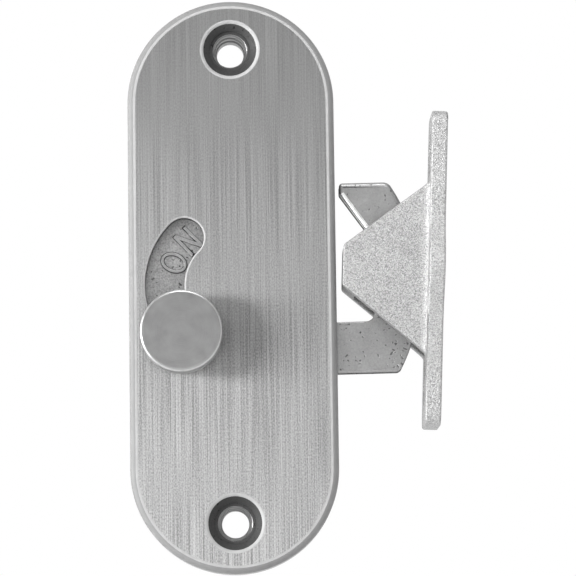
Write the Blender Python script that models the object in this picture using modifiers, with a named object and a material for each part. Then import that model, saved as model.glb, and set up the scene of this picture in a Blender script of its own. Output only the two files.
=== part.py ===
"""Sliding door lock: a slim case with a turning hook, and the keeper that the hook holds.

The case lies flat on the door. Its back is the plane y = 0, its front faces -Y, and +Z is up.
The origin is on the axis that the hook turns about. A height is a distance in front of the
back plane, so a point at height h has y = -h. The lock is shown locked, with the hook out.
"""

from math import atan2, cos, degrees, pi, radians, sin, sqrt, tan

import bmesh
import bpy
from mathutils import Vector

# Case, a flat slab with half-round ends
case_height = 0.125
case_width = 0.045
case_depth = 0.010
face_thickness = 0.0020
back_thickness = 0.0015
side_wall = 0.0025
rim_round = 0.0014
back_edge_round = 0.0004
rib_thickness = 0.0025
rib_above_disc = 0.0088
rib_set_back = 0.0006
boss_set_back = 0.0002

# Clearances
seat_gap = 0.0003
running_gap = 0.0003
swing_gap = 0.0006
overrun = 0.002

# Holes for the two mounting screws, and the sleeves that line them
screw_inset = 0.01085
screw_hole_width = 0.0059
countersink_width = 0.0120
countersink_land = 0.0004
sleeve_foot_step = 0.00055
sleeve_wall = 0.0021
sleeve_mouth_step = 0.00035
sleeve_mouth_depth = 0.0008
sleeve_foot_height = 0.0014

# Slot that the knob's neck runs in
slot_inset = 0.0008
slot_width = 0.0085
slot_top_angle = 135.0
slot_bottom_angle = 225.0

# Screws that hold the back plate, the housing and the face plate together
back_screw_width = 0.0025
back_screw_head_width = 0.0046
back_screw_head_depth = 0.0011
back_screw_bite = 0.0010
boss_width = 0.0070
boss_inset = 0.0024
boss_angle = 35.0

# Hook: a disc with an arm and a claw, drawn with its arm level and then lifted a little
hook_front_gap = 0.0004
hook_edge_round = 0.0006
hook_lift = 0.8
claw_width = 0.0095
claw_inner_top_angle = 22.0
arm_top = 0.0086
tip_inset = 0.0006
nose_gap = 0.0012
nose_depth = 0.0024
nose_round = 0.0009
tip_corner_round = 0.0020
arm_corner_round = 0.0014
arm_fillet = 0.0018
disc_fillet = 0.0010

# Pivot
pin_width = 0.0070
pin_foot_step = 0.0004
pin_foot_depth = 0.0006
bush_wall = 0.0012
front_washer_width = 0.0165
front_washer_thickness = 0.0005
spring_washer_width = 0.0160
spring_washer_thickness = 0.0003
spring_washer_room = 0.0011
spring_washer_waves = 3

# Knob
knob_width = 0.0177
knob_thickness = 0.0050
knob_rise = 0.0090
knob_chamfer = 0.0006
knob_off_centre = 0.00085
knob_rest_turn = 0.2
neck_gap = 0.0004
knob_screw_width = 0.0030
knob_screw_head_width = 0.0055
knob_screw_head_depth = 0.0014
knob_screw_length = 0.0095

# Keeper: a base plate for the jamb, with a loop that stands out of it towards the case
keeper_face_gap = 0.0015
keeper_rise = 0.00305
keeper_lean = 2.45
base_length = 0.0690
base_thickness = 0.0035
base_end_width = 0.0150
base_middle_width = 0.0234
base_bulge_length = 0.0240
base_corner_round = 0.0030
base_edge_round = 0.0005
loop_case_gap = 0.00145
loop_bar_gap = 0.00465
loop_tip_height = 0.0088
loop_foot_gap = 0.0008
loop_wall = 0.0030
loop_bar = 0.0028
loop_side_gap = 0.0008
keeper_hole_width = 0.0062
keeper_countersink_width = 0.0108
keeper_hole_inset = 0.0095

# How finely round shapes are drawn
end_steps = 28
round_steps = 32
corner_steps = 3
claw_steps = 10
bulge_steps = 12
wave_steps = 36
weld_distance = 0.00001

# Case, sleeves and bosses, as they follow from the values above
end_radius = case_width / 2
end_centre = case_height / 2 - end_radius
inner_radius = end_radius - side_wall
face_back = case_depth - face_thickness
housing_low = back_thickness + seat_gap
housing_high = face_back - seat_gap
screw_height = case_height / 2 - screw_inset
countersink_depth = face_thickness - countersink_land
sleeve_bore = screw_hole_width + 2 * sleeve_foot_step
sleeve_width = sleeve_bore + 2 * sleeve_wall
sleeve_mouth_width = sleeve_bore + 2 * sleeve_mouth_step
boss_reach = inner_radius - boss_inset

# Hook and slot: the disc just clears the housing, and the claw closes round the keeper's bar
hook_high = face_back - hook_front_gap
hook_low = housing_low + spring_washer_room
disc_radius = inner_radius - running_gap
rib_height = disc_radius + rib_above_disc
slot_reach = disc_radius - slot_inset - slot_width / 2
nose_reach = end_radius + nose_gap
tip_height = end_radius - tip_inset
nose_height = tip_height - nose_depth
bar_at = end_radius + loop_case_gap
claw_inner_radius = bar_at + loop_bar + loop_bar_gap
claw_outer_radius = claw_inner_radius + claw_width

# Pivot
bush_bore = pin_width + 2 * running_gap
bush_width = bush_bore + 2 * bush_wall
pin_foot_width = pin_width + 2 * pin_foot_step
washer_floor = face_back - front_washer_thickness - 2 * seat_gap

# Knob: its neck stands near the slot's outer edge, at the slot's lower end
knob_back = case_depth + knob_rise - knob_thickness
knob_reach = slot_reach + knob_off_centre
knob_angle = slot_bottom_angle - knob_rest_turn
neck_width = slot_width - 2 * (knob_off_centre + neck_gap)

# Keeper
keeper_face_at = claw_outer_radius + keeper_face_gap
loop_reach = keeper_face_at - bar_at
keeper_hole_spacing = base_length - 2 * keeper_hole_inset
loop_base_height = keeper_hole_spacing - keeper_countersink_width - 2 * loop_foot_gap

FACE_FORWARD = (pi / 2, 0, 0)

# Colours are linear red, green and blue, followed by roughness
brushed_face = ((0.42, 0.42, 0.42), 0.34)
satin_case = ((0.40, 0.40, 0.41), 0.38)
turned_steel = ((0.44, 0.44, 0.44), 0.28)
cast_hook = ((0.36, 0.36, 0.36), 0.45)
blasted_cast = ((0.62, 0.62, 0.62), 0.55)
spring_steel = ((0.30, 0.30, 0.32), 0.30)
bearing_bronze = ((0.55, 0.36, 0.16), 0.40)


def clear_scene():
    """Remove what a new file holds."""
    for old in list(bpy.data.objects):
        bpy.data.objects.remove(old, do_unlink=True)


def new_collection(name):
    """A collection linked to the scene."""
    made = bpy.data.collections.new(name)
    bpy.context.scene.collection.children.link(made)
    return made


def paint(piece, finish):
    """Give a piece its own metal."""
    colour, roughness = finish
    metal = bpy.data.materials.new(piece.name + "_metal")
    metal.use_nodes = True
    shader = metal.node_tree.nodes["Principled BSDF"]
    shader.inputs["Base Color"].default_value = (*colour, 1)
    shader.inputs["Metallic"].default_value = 1
    shader.inputs["Roughness"].default_value = roughness
    piece.data.materials.append(metal)


def shade(piece):
    """Shade round faces smooth and keep the corners crisp."""
    piece.data.shade_smooth()
    piece.data.set_sharp_from_angle(angle=radians(35))


def arc(centre_x, centre_z, radius, start, end, steps):
    """Points along an arc, both ends included, with angles in degrees from +X towards +Z."""
    points = []
    for step in range(steps + 1):
        angle = radians(start + (end - start) * step / steps)
        points.append((centre_x + radius * cos(angle), centre_z + radius * sin(angle)))
    return points


def rounded(corners):
    """An outline through (x, z, radius) corners, each corner rounded by its own radius."""
    outline = []
    for index, (x, z, radius) in enumerate(corners):
        here = Vector((x, z))
        if radius == 0:
            outline.append((x, z))
            continue
        back = (Vector(corners[index - 1][:2]) - here).normalized()
        ahead = (Vector(corners[(index + 1) % len(corners)][:2]) - here).normalized()
        half = back.angle(ahead) / 2
        centre = here + (back + ahead).normalized() * radius / sin(half)
        first = here + back * radius / tan(half) - centre
        last = here + ahead * radius / tan(half) - centre
        start = degrees(atan2(first.y, first.x))
        turn = (degrees(atan2(last.y, last.x)) - start + 180) % 360 - 180
        outline += arc(centre.x, centre.y, radius, start, start + turn, corner_steps)
    return outline


def stadium(height, width):
    """Outline of a slab with half-round ends."""
    radius = width / 2
    centre = height / 2 - radius
    return arc(0, centre, radius, 0, 180, end_steps) + arc(0, -centre, radius, 180, 360, end_steps)


def slab(name, outline, low, high, home):
    """Extrude a closed outline of (x, z) points between two heights."""
    curve = bpy.data.curves.new(name + "_drawing", "CURVE")
    curve.dimensions = "2D"
    curve.fill_mode = "BOTH"
    curve.extrude = (high - low) / 2
    spline = curve.splines.new("POLY")
    spline.points.add(len(outline) - 1)
    for point, (x, z) in zip(spline.points, outline):
        point.co = (x, z, 0, 1)
    spline.use_cyclic_u = True
    drawing = bpy.data.objects.new(name + "_drawing", curve)
    drawing.rotation_euler = FACE_FORWARD
    drawing.location = (0, -(low + high) / 2, 0)
    bpy.context.scene.collection.objects.link(drawing)
    bpy.context.view_layer.update()
    graph = bpy.context.evaluated_depsgraph_get()
    mesh = bpy.data.meshes.new_from_object(drawing.evaluated_get(graph))
    shape = bmesh.new()
    shape.from_mesh(mesh)
    bmesh.ops.remove_doubles(shape, verts=shape.verts, dist=weld_distance)
    bmesh.ops.dissolve_limit(shape, angle_limit=radians(1), verts=shape.verts, edges=shape.edges)
    bmesh.ops.recalc_face_normals(shape, faces=shape.faces)
    shape.to_mesh(mesh)
    shape.free()
    mesh.name = name
    piece = bpy.data.objects.new(name, mesh)
    piece.matrix_world = drawing.matrix_world
    home.objects.link(piece)
    bpy.data.objects.remove(drawing, do_unlink=True)
    return piece


def round_rim(piece, faces_front, radius):
    """Round the edge between the sides of a slab and its front or its back."""
    shape = bmesh.new()
    shape.from_mesh(piece.data)
    side = 1 if faces_front else -1
    rim = [
        edge for edge in shape.edges
        if any(face.normal.z * side > 0.9 for face in edge.link_faces)
        and any(abs(face.normal.z) < 0.1 for face in edge.link_faces)
    ]
    bmesh.ops.bevel(
        shape, geom=rim, offset=radius, segments=corner_steps, profile=0.5,
        affect="EDGES", material=-1, clamp_overlap=True,
    )
    shape.to_mesh(piece.data)
    shape.free()


def turned(name, profile, x, z, home):
    """Turn a closed (radius, height) profile about an axis that stands out of the case's back.

    The profile runs down the outer side, and then back up the bore or along the axis.
    """
    mesh = bpy.data.meshes.new(name + "_profile")
    shape = bmesh.new()
    points = [shape.verts.new((radius, 0, height)) for radius, height in profile]
    for index in range(1, len(points)):
        shape.edges.new((points[index - 1], points[index]))
    if profile[0][0] > 0:
        shape.edges.new((points[-1], points[0]))
    shape.to_mesh(mesh)
    shape.free()
    blank = bpy.data.objects.new(name + "_blank", mesh)
    bpy.context.scene.collection.objects.link(blank)
    turning = blank.modifiers.new("turning", "SCREW")
    turning.steps = round_steps
    turning.render_steps = round_steps
    turning.use_merge_vertices = True
    turning.merge_threshold = weld_distance
    bpy.context.view_layer.update()
    graph = bpy.context.evaluated_depsgraph_get()
    solid = bpy.data.meshes.new_from_object(blank.evaluated_get(graph))
    solid.name = name
    bpy.data.objects.remove(blank, do_unlink=True)
    piece = bpy.data.objects.new(name, solid)
    piece.rotation_euler = FACE_FORWARD
    piece.location = (x, 0, z)
    home.objects.link(piece)
    return piece


def plug(radius, low, high):
    """Profile of a plain round bar."""
    return [(0, high), (radius, high), (radius, low), (0, low)]


def ring(outer, inner, low, high):
    """Profile of a plain ring."""
    return [(outer, high), (outer, low), (inner, low), (inner, high)]


def box(name, x_range, y_range, z_range, home):
    """A block between the given limits, in the frame of its parent or of the world."""
    mesh = bpy.data.meshes.new(name)
    shape = bmesh.new()
    made = bmesh.ops.create_cube(shape, size=1)
    limits = (x_range, y_range, z_range)
    size = Vector([high - low for low, high in limits])
    middle = Vector([(low + high) / 2 for low, high in limits])
    bmesh.ops.scale(shape, vec=size, verts=made["verts"])
    bmesh.ops.translate(shape, vec=middle, verts=made["verts"])
    shape.to_mesh(mesh)
    shape.free()
    piece = bpy.data.objects.new(name, mesh)
    home.objects.link(piece)
    return piece


def combine(piece, tool, operation):
    """Cut a piece with a tool, or join the tool to it."""
    tool.hide_render = True
    tool.display_type = "WIRE"
    change = piece.modifiers.new(tool.name, "BOOLEAN")
    change.operation = operation
    change.solver = "EXACT"
    change.object = tool


def screw_places():
    """Where the four back screws stand, as seen from the front, from the upper right round."""
    places = []
    for side, end in ((1, 1), (-1, 1), (-1, -1), (1, -1)):
        x = side * boss_reach * cos(radians(boss_angle))
        z = end * (end_centre + boss_reach * sin(radians(boss_angle)))
        places.append((x, z))
    return places


def slot_outline():
    """The curved slot, with a half-round end about each of its end angles."""
    half = slot_width / 2
    outer = arc(0, 0, slot_reach + half, slot_top_angle, slot_bottom_angle, end_steps)
    inner = arc(0, 0, slot_reach - half, slot_bottom_angle, slot_top_angle, end_steps)
    low_x, low_z = arc(0, 0, slot_reach, slot_bottom_angle, slot_bottom_angle, 1)[0]
    top_x, top_z = arc(0, 0, slot_reach, slot_top_angle, slot_top_angle, 1)[0]
    low_end = arc(low_x, low_z, half, slot_bottom_angle, slot_bottom_angle + 180, round_steps // 2)
    top_end = arc(top_x, top_z, half, slot_top_angle + 180, slot_top_angle + 360, round_steps // 2)
    return outer + low_end[1:-1] + inner + top_end[1:-1]


def make_face_plate(parts, cutters):
    """Brushed front plate: slot, two countersunk holes, and blind holes behind for the screws."""
    plate = slab("face_plate", stadium(case_height, case_width), face_back, case_depth, parts)
    round_rim(plate, True, rim_round)
    shade(plate)
    slot = slab("slot_cutter", slot_outline(), face_back - overrun, case_depth + overrun, cutters)
    combine(plate, slot, "DIFFERENCE")
    wide = countersink_width / 2
    narrow = wide - countersink_depth
    cone = [
        (0, case_depth + overrun), (wide + overrun, case_depth + overrun),
        (narrow, case_depth - countersink_depth), (narrow, face_back - overrun),
        (0, face_back - overrun),
    ]
    for end, z in (("upper", screw_height), ("lower", -screw_height)):
        combine(plate, turned(end + "_countersink_cutter", cone, 0, z, cutters), "DIFFERENCE")
    blind = plug(back_screw_width / 2 + seat_gap, face_back - overrun, face_back + back_screw_bite)
    for number, (x, z) in enumerate(screw_places(), 1):
        combine(plate, turned("face_thread_cutter_%d" % number, blind, x, z, cutters), "DIFFERENCE")
    return plate


def make_housing(parts, cutters):
    """Cast frame between the plates, open on the right where the hook comes out."""
    frame = slab("housing", stadium(case_height, case_width), housing_low, housing_high, parts)
    shade(frame)
    low = housing_low - overrun
    high = housing_high + overrun
    inside = stadium(2 * (end_centre + inner_radius), 2 * inner_radius)
    hollow = slab("hollow_cutter", inside, low, high, cutters)
    combine(frame, hollow, "DIFFERENCE")
    across = (-end_radius + side_wall / 2, end_radius - side_wall / 2)
    rib_z = (rib_height - rib_thickness / 2, rib_height + rib_thickness / 2)
    rib_depth = (-housing_high + rib_set_back, -housing_low - rib_set_back)
    combine(frame, box("rib_block", across, rib_depth, rib_z, cutters), "UNION")
    boss = ring(
        boss_width / 2, back_screw_width / 2 + seat_gap,
        housing_low + boss_set_back, housing_high - boss_set_back,
    )
    for number, (x, z) in enumerate(screw_places(), 1):
        combine(frame, turned("boss_block_%d" % number, boss, x, z, cutters), "UNION")
    mouth_top = -arm_top + end_radius * sin(radians(hook_lift)) + swing_gap
    mouth_bottom = -sqrt(claw_outer_radius ** 2 - inner_radius ** 2) - swing_gap
    mouth = box(
        "mouth_cutter", (inner_radius - overrun / 2, end_radius + overrun), (-high, -low),
        (mouth_bottom, mouth_top), cutters,
    )
    combine(frame, mouth, "DIFFERENCE")
    return frame


def make_back_plate(parts, cutters):
    """Flat plate that lies on the door, with holes for the mounting screws and the back screws."""
    plate = slab("back_plate", stadium(case_height, case_width), 0, back_thickness, parts)
    round_rim(plate, False, back_edge_round)
    shade(plate)
    low = -overrun
    high = back_thickness + overrun
    hole = plug(screw_hole_width / 2, low, high)
    for end, z in (("upper", screw_height), ("lower", -screw_height)):
        combine(plate, turned(end + "_screw_hole_cutter", hole, 0, z, cutters), "DIFFERENCE")
    shank = back_screw_width / 2 + seat_gap
    head = back_screw_head_width / 2 + seat_gap
    seat = [(0, high), (shank, high), (shank, back_screw_head_depth), (head, 0), (head, low), (0, low)]
    for number, (x, z) in enumerate(screw_places(), 1):
        combine(plate, turned("screw_seat_cutter_%d" % number, seat, x, z, cutters), "DIFFERENCE")
    return plate


def make_back_screws(parts):
    """Four countersunk screws, put in from behind, that end inside the face plate."""
    shank = back_screw_width / 2
    head = back_screw_head_width / 2
    tip = face_back + back_screw_bite - seat_gap
    socket_depth = back_screw_head_depth / 2
    socket = shank / 2
    profile = [
        (0, tip), (shank, tip), (shank, back_screw_head_depth), (head, seat_gap / 2),
        (head, 0), (socket, 0), (socket, socket_depth), (0, socket_depth),
    ]
    screws = []
    for number, (x, z) in enumerate(screw_places(), 1):
        screw = turned("back_screw_%d" % number, profile, x, z, parts)
        shade(screw)
        screws.append(screw)
    return screws


def make_screw_sleeves(parts):
    """Two turned sleeves that line the mounting screws' way through the case."""
    outer = sleeve_width / 2
    bore = sleeve_bore / 2
    mouth = sleeve_mouth_width / 2
    foot = screw_hole_width / 2
    step = housing_low + sleeve_foot_height
    profile = [
        (outer, housing_high), (outer, housing_low), (foot, housing_low), (foot, step),
        (bore, step), (bore, housing_high - sleeve_mouth_depth), (mouth, housing_high),
    ]
    sleeves = []
    for end, z in (("upper", screw_height), ("lower", -screw_height)):
        sleeve = turned(end + "_screw_sleeve", profile, 0, z, parts)
        shade(sleeve)
        sleeves.append(sleeve)
    return sleeves


def hook_outline():
    """Disc, arm and claw, drawn about the pivot with the arm level."""
    arm_end = sqrt(claw_outer_radius ** 2 - disc_radius ** 2)
    tip_end = sqrt(claw_outer_radius ** 2 - tip_height ** 2)
    arm_end_angle = degrees(atan2(-disc_radius, arm_end))
    tip_end_angle = degrees(atan2(tip_height, tip_end))
    outer = arc(0, 0, claw_outer_radius, arm_end_angle, tip_end_angle, claw_steps)[1:-1]
    fillet_x = sqrt(claw_inner_radius ** 2 - arm_top ** 2)
    fillet_angle = degrees(atan2(-arm_top, fillet_x))
    inner = arc(0, 0, claw_inner_radius, claw_inner_top_angle, fillet_angle, claw_steps // 2)
    disc_x = sqrt(disc_radius ** 2 - arm_top ** 2)
    disc_angle = degrees(atan2(-arm_top, disc_x))
    disc = arc(0, 0, disc_radius, disc_angle, 270, 2 * end_steps)
    corners = [(arm_end, -disc_radius, arm_corner_round)]
    corners += [(x, z, 0) for x, z in outer]
    corners += [(tip_end, tip_height, tip_corner_round)]
    corners += [(nose_reach, tip_height, nose_round), (nose_reach, nose_height, nose_round)]
    corners += [(x, z, 0) for x, z in inner[:-1]]
    corners += [(fillet_x, -arm_top, arm_fillet)]
    corners += [(disc_x, -arm_top, disc_fillet)]
    corners += [(x, z, 0) for x, z in disc[2:]]
    return rounded(corners)


def make_hook(parts, cutters, pivot):
    """One casting: a disc behind the slot, an arm through the mouth, and the claw."""
    lift = radians(hook_lift)
    outline = [(x * cos(lift) - z * sin(lift), x * sin(lift) + z * cos(lift))
               for x, z in hook_outline()]
    hook = slab("hook", outline, hook_low, hook_high, parts)
    round_rim(hook, True, hook_edge_round)
    round_rim(hook, False, hook_edge_round)
    shade(hook)
    below = hook_low - overrun
    above = hook_high + overrun
    bore = plug(bush_width / 2 + seat_gap, below, above)
    combine(hook, turned("hub_bore_cutter", bore, 0, 0, cutters), "DIFFERENCE")
    recess = plug(front_washer_width / 2 + seat_gap, washer_floor, above)
    combine(hook, turned("washer_recess_cutter", recess, 0, 0, cutters), "DIFFERENCE")
    shank = knob_screw_width / 2 + seat_gap
    head = knob_screw_head_width / 2 + seat_gap
    cone_top = hook_low + knob_screw_head_depth
    hole = [(0, above), (shank, above), (shank, cone_top), (head, hook_low), (head, below), (0, below)]
    x, z = arc(0, 0, knob_reach, knob_angle, knob_angle, 1)[0]
    combine(hook, turned("knob_screw_hole_cutter", hole, x, z, cutters), "DIFFERENCE")
    ride(hook, pivot)
    return hook


def ride(piece, pivot):
    """Hang a piece on an empty without moving it."""
    piece.parent = pivot
    piece.matrix_parent_inverse = pivot.matrix_world.inverted()


def make_pivot(parts, pivot):
    """Pin that stands on the back plate, its bush in the hook, and a flat washer in front."""
    radius = pin_width / 2
    foot = pin_foot_width / 2
    foot_top = housing_low + pin_foot_depth
    top = face_back - seat_gap
    pin = turned("pivot_pin", [
        (0, top), (radius, top), (radius, foot_top), (foot, foot_top), (foot, housing_low),
        (0, housing_low),
    ], 0, 0, parts)
    bore = bush_bore / 2
    bush = turned("pivot_bush", ring(bush_width / 2, bore, hook_low, washer_floor), 0, 0, parts)
    washer_low = washer_floor + seat_gap
    washer_high = washer_low + front_washer_thickness
    washer_outer = front_washer_width / 2
    washer = turned("front_washer", ring(washer_outer, bore, washer_low, washer_high), 0, 0, parts)
    for piece in (pin, bush, washer):
        shade(piece)
    ride(bush, pivot)
    ride(washer, pivot)
    return pin, bush, washer


def make_spring_washer(parts):
    """Wave washer that presses the hook forward, so that it stays where it is put."""
    outer = spring_washer_width / 2
    inner = pin_foot_width / 2 + running_gap
    room = hook_low - housing_low - seat_gap
    wave = (room - spring_washer_thickness) / 2
    mesh = bpy.data.meshes.new("spring_washer")
    shape = bmesh.new()
    circle = bmesh.ops.create_circle(shape, cap_ends=False, radius=outer, segments=wave_steps)
    rim = list({edge for vert in circle["verts"] for edge in vert.link_edges})
    grown = bmesh.ops.extrude_edge_only(shape, edges=rim)["geom"]
    inside = [item for item in grown if isinstance(item, bmesh.types.BMVert)]
    share = inner / outer
    bmesh.ops.scale(shape, vec=(share, share, 1), verts=inside)
    middle = housing_low + room / 2
    for vert in shape.verts:
        turn = atan2(vert.co.y, vert.co.x)
        vert.co.z = middle + wave * cos(spring_washer_waves * turn)
    bmesh.ops.recalc_face_normals(shape, faces=shape.faces)
    shape.to_mesh(mesh)
    shape.free()
    washer = bpy.data.objects.new("spring_washer", mesh)
    washer.rotation_euler = FACE_FORWARD
    parts.objects.link(washer)
    wall = washer.modifiers.new("wall", "SOLIDIFY")
    wall.thickness = spring_washer_thickness
    wall.offset = 0
    mesh.shade_smooth()
    return washer


def make_knob(parts, pivot):
    """Round knob on a neck that stands on the hook, and the screw that holds it from behind."""
    x, z = arc(0, 0, knob_reach, knob_angle, knob_angle, 1)[0]
    outer = knob_width / 2
    neck = neck_width / 2
    front = case_depth + knob_rise
    foot = hook_high + seat_gap
    screw = knob_screw_width / 2
    screw_end = hook_low + knob_screw_length
    knob = turned("knob", [
        (0, front), (outer - knob_chamfer, front), (outer, front - knob_chamfer),
        (outer, knob_back + knob_chamfer / 2), (outer - knob_chamfer / 2, knob_back),
        (neck, knob_back), (neck, foot), (screw + seat_gap, foot),
        (screw + seat_gap, screw_end + seat_gap), (0, screw_end + seat_gap),
    ], x, z, parts)
    head = knob_screw_head_width / 2
    cone_top = hook_low + knob_screw_head_depth
    driver = screw / 2
    driver_top = hook_low + knob_screw_head_depth / 2
    bolt = turned("knob_screw", [
        (0, screw_end), (screw, screw_end), (screw, cone_top), (head, hook_low + seat_gap / 2),
        (head, hook_low), (driver, hook_low), (driver, driver_top), (0, driver_top),
    ], x, z, parts)
    for piece in (knob, bolt):
        shade(piece)
        ride(piece, pivot)
    return knob, bolt


def base_outline():
    """Base plate seen from the case: straight ends and a middle that swells by a cosine wave."""
    half_length = base_length / 2
    half_end = base_end_width / 2
    swell = (base_middle_width - base_end_width) / 2
    side = [(half_end, -half_length, base_corner_round)]
    for step in range(bulge_steps + 1):
        along = base_bulge_length * (step / bulge_steps - 1 / 2)
        wave = (1 + cos(2 * pi * along / base_bulge_length)) / 2
        side.append((half_end + swell * wave, along, 0))
    side.append((half_end, half_length, base_corner_round))
    other = [(-x, z, radius) for x, z, radius in reversed(side)]
    return rounded(side + other)


def make_keeper(parts, cutters):
    """One casting: base plate, two walls and the bar that the claw closes behind.

    It is built about the middle of the face that looks at the case, and then leans as a whole.
    """
    stand = bpy.data.objects.new("keeper_stand", None)
    stand.location = (keeper_face_at, -(hook_low + hook_high) / 2, keeper_rise)
    stand.rotation_euler = (0, radians(keeper_lean), 0)
    parts.objects.link(stand)
    bpy.context.view_layer.update()
    base = slab("keeper", base_outline(), 0, base_thickness, parts)
    base.matrix_world.identity()
    round_rim(base, True, base_edge_round)
    round_rim(base, False, base_edge_round)
    base.parent = stand
    base.rotation_euler = (pi / 2, 0, pi / 2)
    base.location = (base_thickness / 2, 0, 0)
    shade(base)
    half_gap = (hook_high - hook_low) / 2 + loop_side_gap
    half_depth = half_gap + loop_wall
    root = base_thickness / 2
    slope = (loop_base_height - loop_tip_height) / 2 / loop_reach
    half_tip = loop_tip_height / 2
    half_root = half_tip + slope * (loop_reach + root)
    trapezoid = [(-loop_reach, half_tip), (-loop_reach, -half_tip), (root, -half_root), (root, half_root)]
    loop = slab("loop_block", trapezoid, -half_depth, half_depth, cutters)
    loop.parent = stand
    gap_from = -loop_reach + loop_bar
    tall = half_root + overrun
    passage = box(
        "passage_cutter", (gap_from, root + overrun), (-half_gap, half_gap), (-tall, tall), cutters,
    )
    passage.parent = stand
    combine(loop, passage, "DIFFERENCE")
    combine(base, loop, "UNION")
    bore = keeper_hole_width / 2
    wide = keeper_countersink_width / 2
    depth = wide - bore
    hole = [
        (0, overrun), (wide + overrun, overrun), (bore, -depth),
        (bore, -base_thickness - overrun), (0, -base_thickness - overrun),
    ]
    for end, z in (("upper", keeper_hole_spacing / 2), ("lower", -keeper_hole_spacing / 2)):
        cutter = turned(end + "_keeper_hole_cutter", hole, 0, z, cutters)
        cutter.parent = stand
        cutter.rotation_euler = (0, -pi / 2, 0)
        combine(base, cutter, "DIFFERENCE")
    return base


def main():
    clear_scene()
    parts = new_collection("sliding_door_lock")
    cutters = new_collection("cutters")
    pivot = bpy.data.objects.new("hook_pivot", None)
    parts.objects.link(pivot)
    bpy.context.view_layer.update()
    paint(make_face_plate(parts, cutters), brushed_face)
    paint(make_housing(parts, cutters), satin_case)
    paint(make_back_plate(parts, cutters), satin_case)
    for screw in make_back_screws(parts):
        paint(screw, turned_steel)
    for sleeve in make_screw_sleeves(parts):
        paint(sleeve, turned_steel)
    paint(make_hook(parts, cutters, pivot), cast_hook)
    pin, bush, washer = make_pivot(parts, pivot)
    paint(pin, turned_steel)
    paint(bush, bearing_bronze)
    paint(washer, turned_steel)
    paint(make_spring_washer(parts), spring_steel)
    knob, bolt = make_knob(parts, pivot)
    paint(knob, turned_steel)
    paint(bolt, turned_steel)
    paint(make_keeper(parts, cutters), blasted_cast)


main()
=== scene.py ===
"""Looks of a sliding door lock: a slim brushed case, its turning hook and knob, and a cast keeper.

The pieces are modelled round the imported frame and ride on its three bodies: case, hook and keeper.
The case's back is the plane y = 0 and its front faces -Y. A height is a distance in front of that
back plane, so a point at height h has y = -h. Angles are in degrees, anticlockwise from +X as the
front shows them, about the hook's axis.
"""

from collections import namedtuple
from math import atan2, cos, degrees, pi, radians, sin, sqrt, tan

import bmesh
import bpy
from bpy.props import FloatProperty, FloatVectorProperty, IntProperty, PointerProperty
from bpy.types import Operator, Panel, PropertyGroup
from mathutils import Matrix, Quaternion, Vector


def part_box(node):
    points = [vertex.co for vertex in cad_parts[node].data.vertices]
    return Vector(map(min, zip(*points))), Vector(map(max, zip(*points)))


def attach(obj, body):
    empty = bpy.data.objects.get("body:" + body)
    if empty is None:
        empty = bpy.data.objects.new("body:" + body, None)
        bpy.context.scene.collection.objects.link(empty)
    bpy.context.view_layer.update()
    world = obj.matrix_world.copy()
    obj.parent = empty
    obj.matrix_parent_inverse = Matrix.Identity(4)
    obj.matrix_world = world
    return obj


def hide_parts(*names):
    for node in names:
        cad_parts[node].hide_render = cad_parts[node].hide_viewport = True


bl_info = {
    "name": "Sliding Door Lock",
    "version": (1, 0, 0),
    "blender": (4, 5, 0),
    "location": "3D View > Sidebar > Door Lock",
    "description": "Models and finishes a sliding door lock round its packed frame",
    "category": "Add Mesh",
}

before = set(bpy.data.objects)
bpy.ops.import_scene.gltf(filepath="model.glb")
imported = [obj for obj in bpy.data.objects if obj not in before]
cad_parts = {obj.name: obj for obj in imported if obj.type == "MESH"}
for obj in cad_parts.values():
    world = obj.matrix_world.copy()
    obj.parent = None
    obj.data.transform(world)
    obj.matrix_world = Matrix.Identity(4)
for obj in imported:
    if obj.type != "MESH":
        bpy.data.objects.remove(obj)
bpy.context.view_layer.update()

# An outline's rounded corner, and its arc about a centre
Corner = namedtuple("Corner", "x z radius")
Arc = namedtuple("Arc", "x z radius start end")

# Where a turned piece stands, and what it stands for
Place = namedtuple("Place", "x z body slot node")

# A lamp that shines at the hook's axis from a place, with its width, height and power
Lamp = namedtuple("Lamp", "name place wide tall watts")


def length(label, default, note):
    """A length that a user can change."""
    return FloatProperty(name=label, description=note, default=default, unit="LENGTH", precision=5)


def angle(label, default, note):
    """An angle in degrees that a user can change."""
    return FloatProperty(name=label, description=note, default=default)


def share(label, default, note):
    """A value from 0 to 1 that a user can change."""
    return FloatProperty(name=label, description=note, default=default, min=0, max=1, subtype="FACTOR")


def colour(label, default, note):
    """A colour that a user can change, in linear red, green and blue."""
    return FloatVectorProperty(name=label, description=note, default=default, size=3, subtype="COLOR")


def count(label, default, note):
    """A number of steps that a user can change."""
    return IntProperty(name=label, description=note, default=default, min=1)


def heights(node):
    """The lowest and highest height of a CAD node."""
    low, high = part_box(node)
    return -high.y, -low.y


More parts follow.
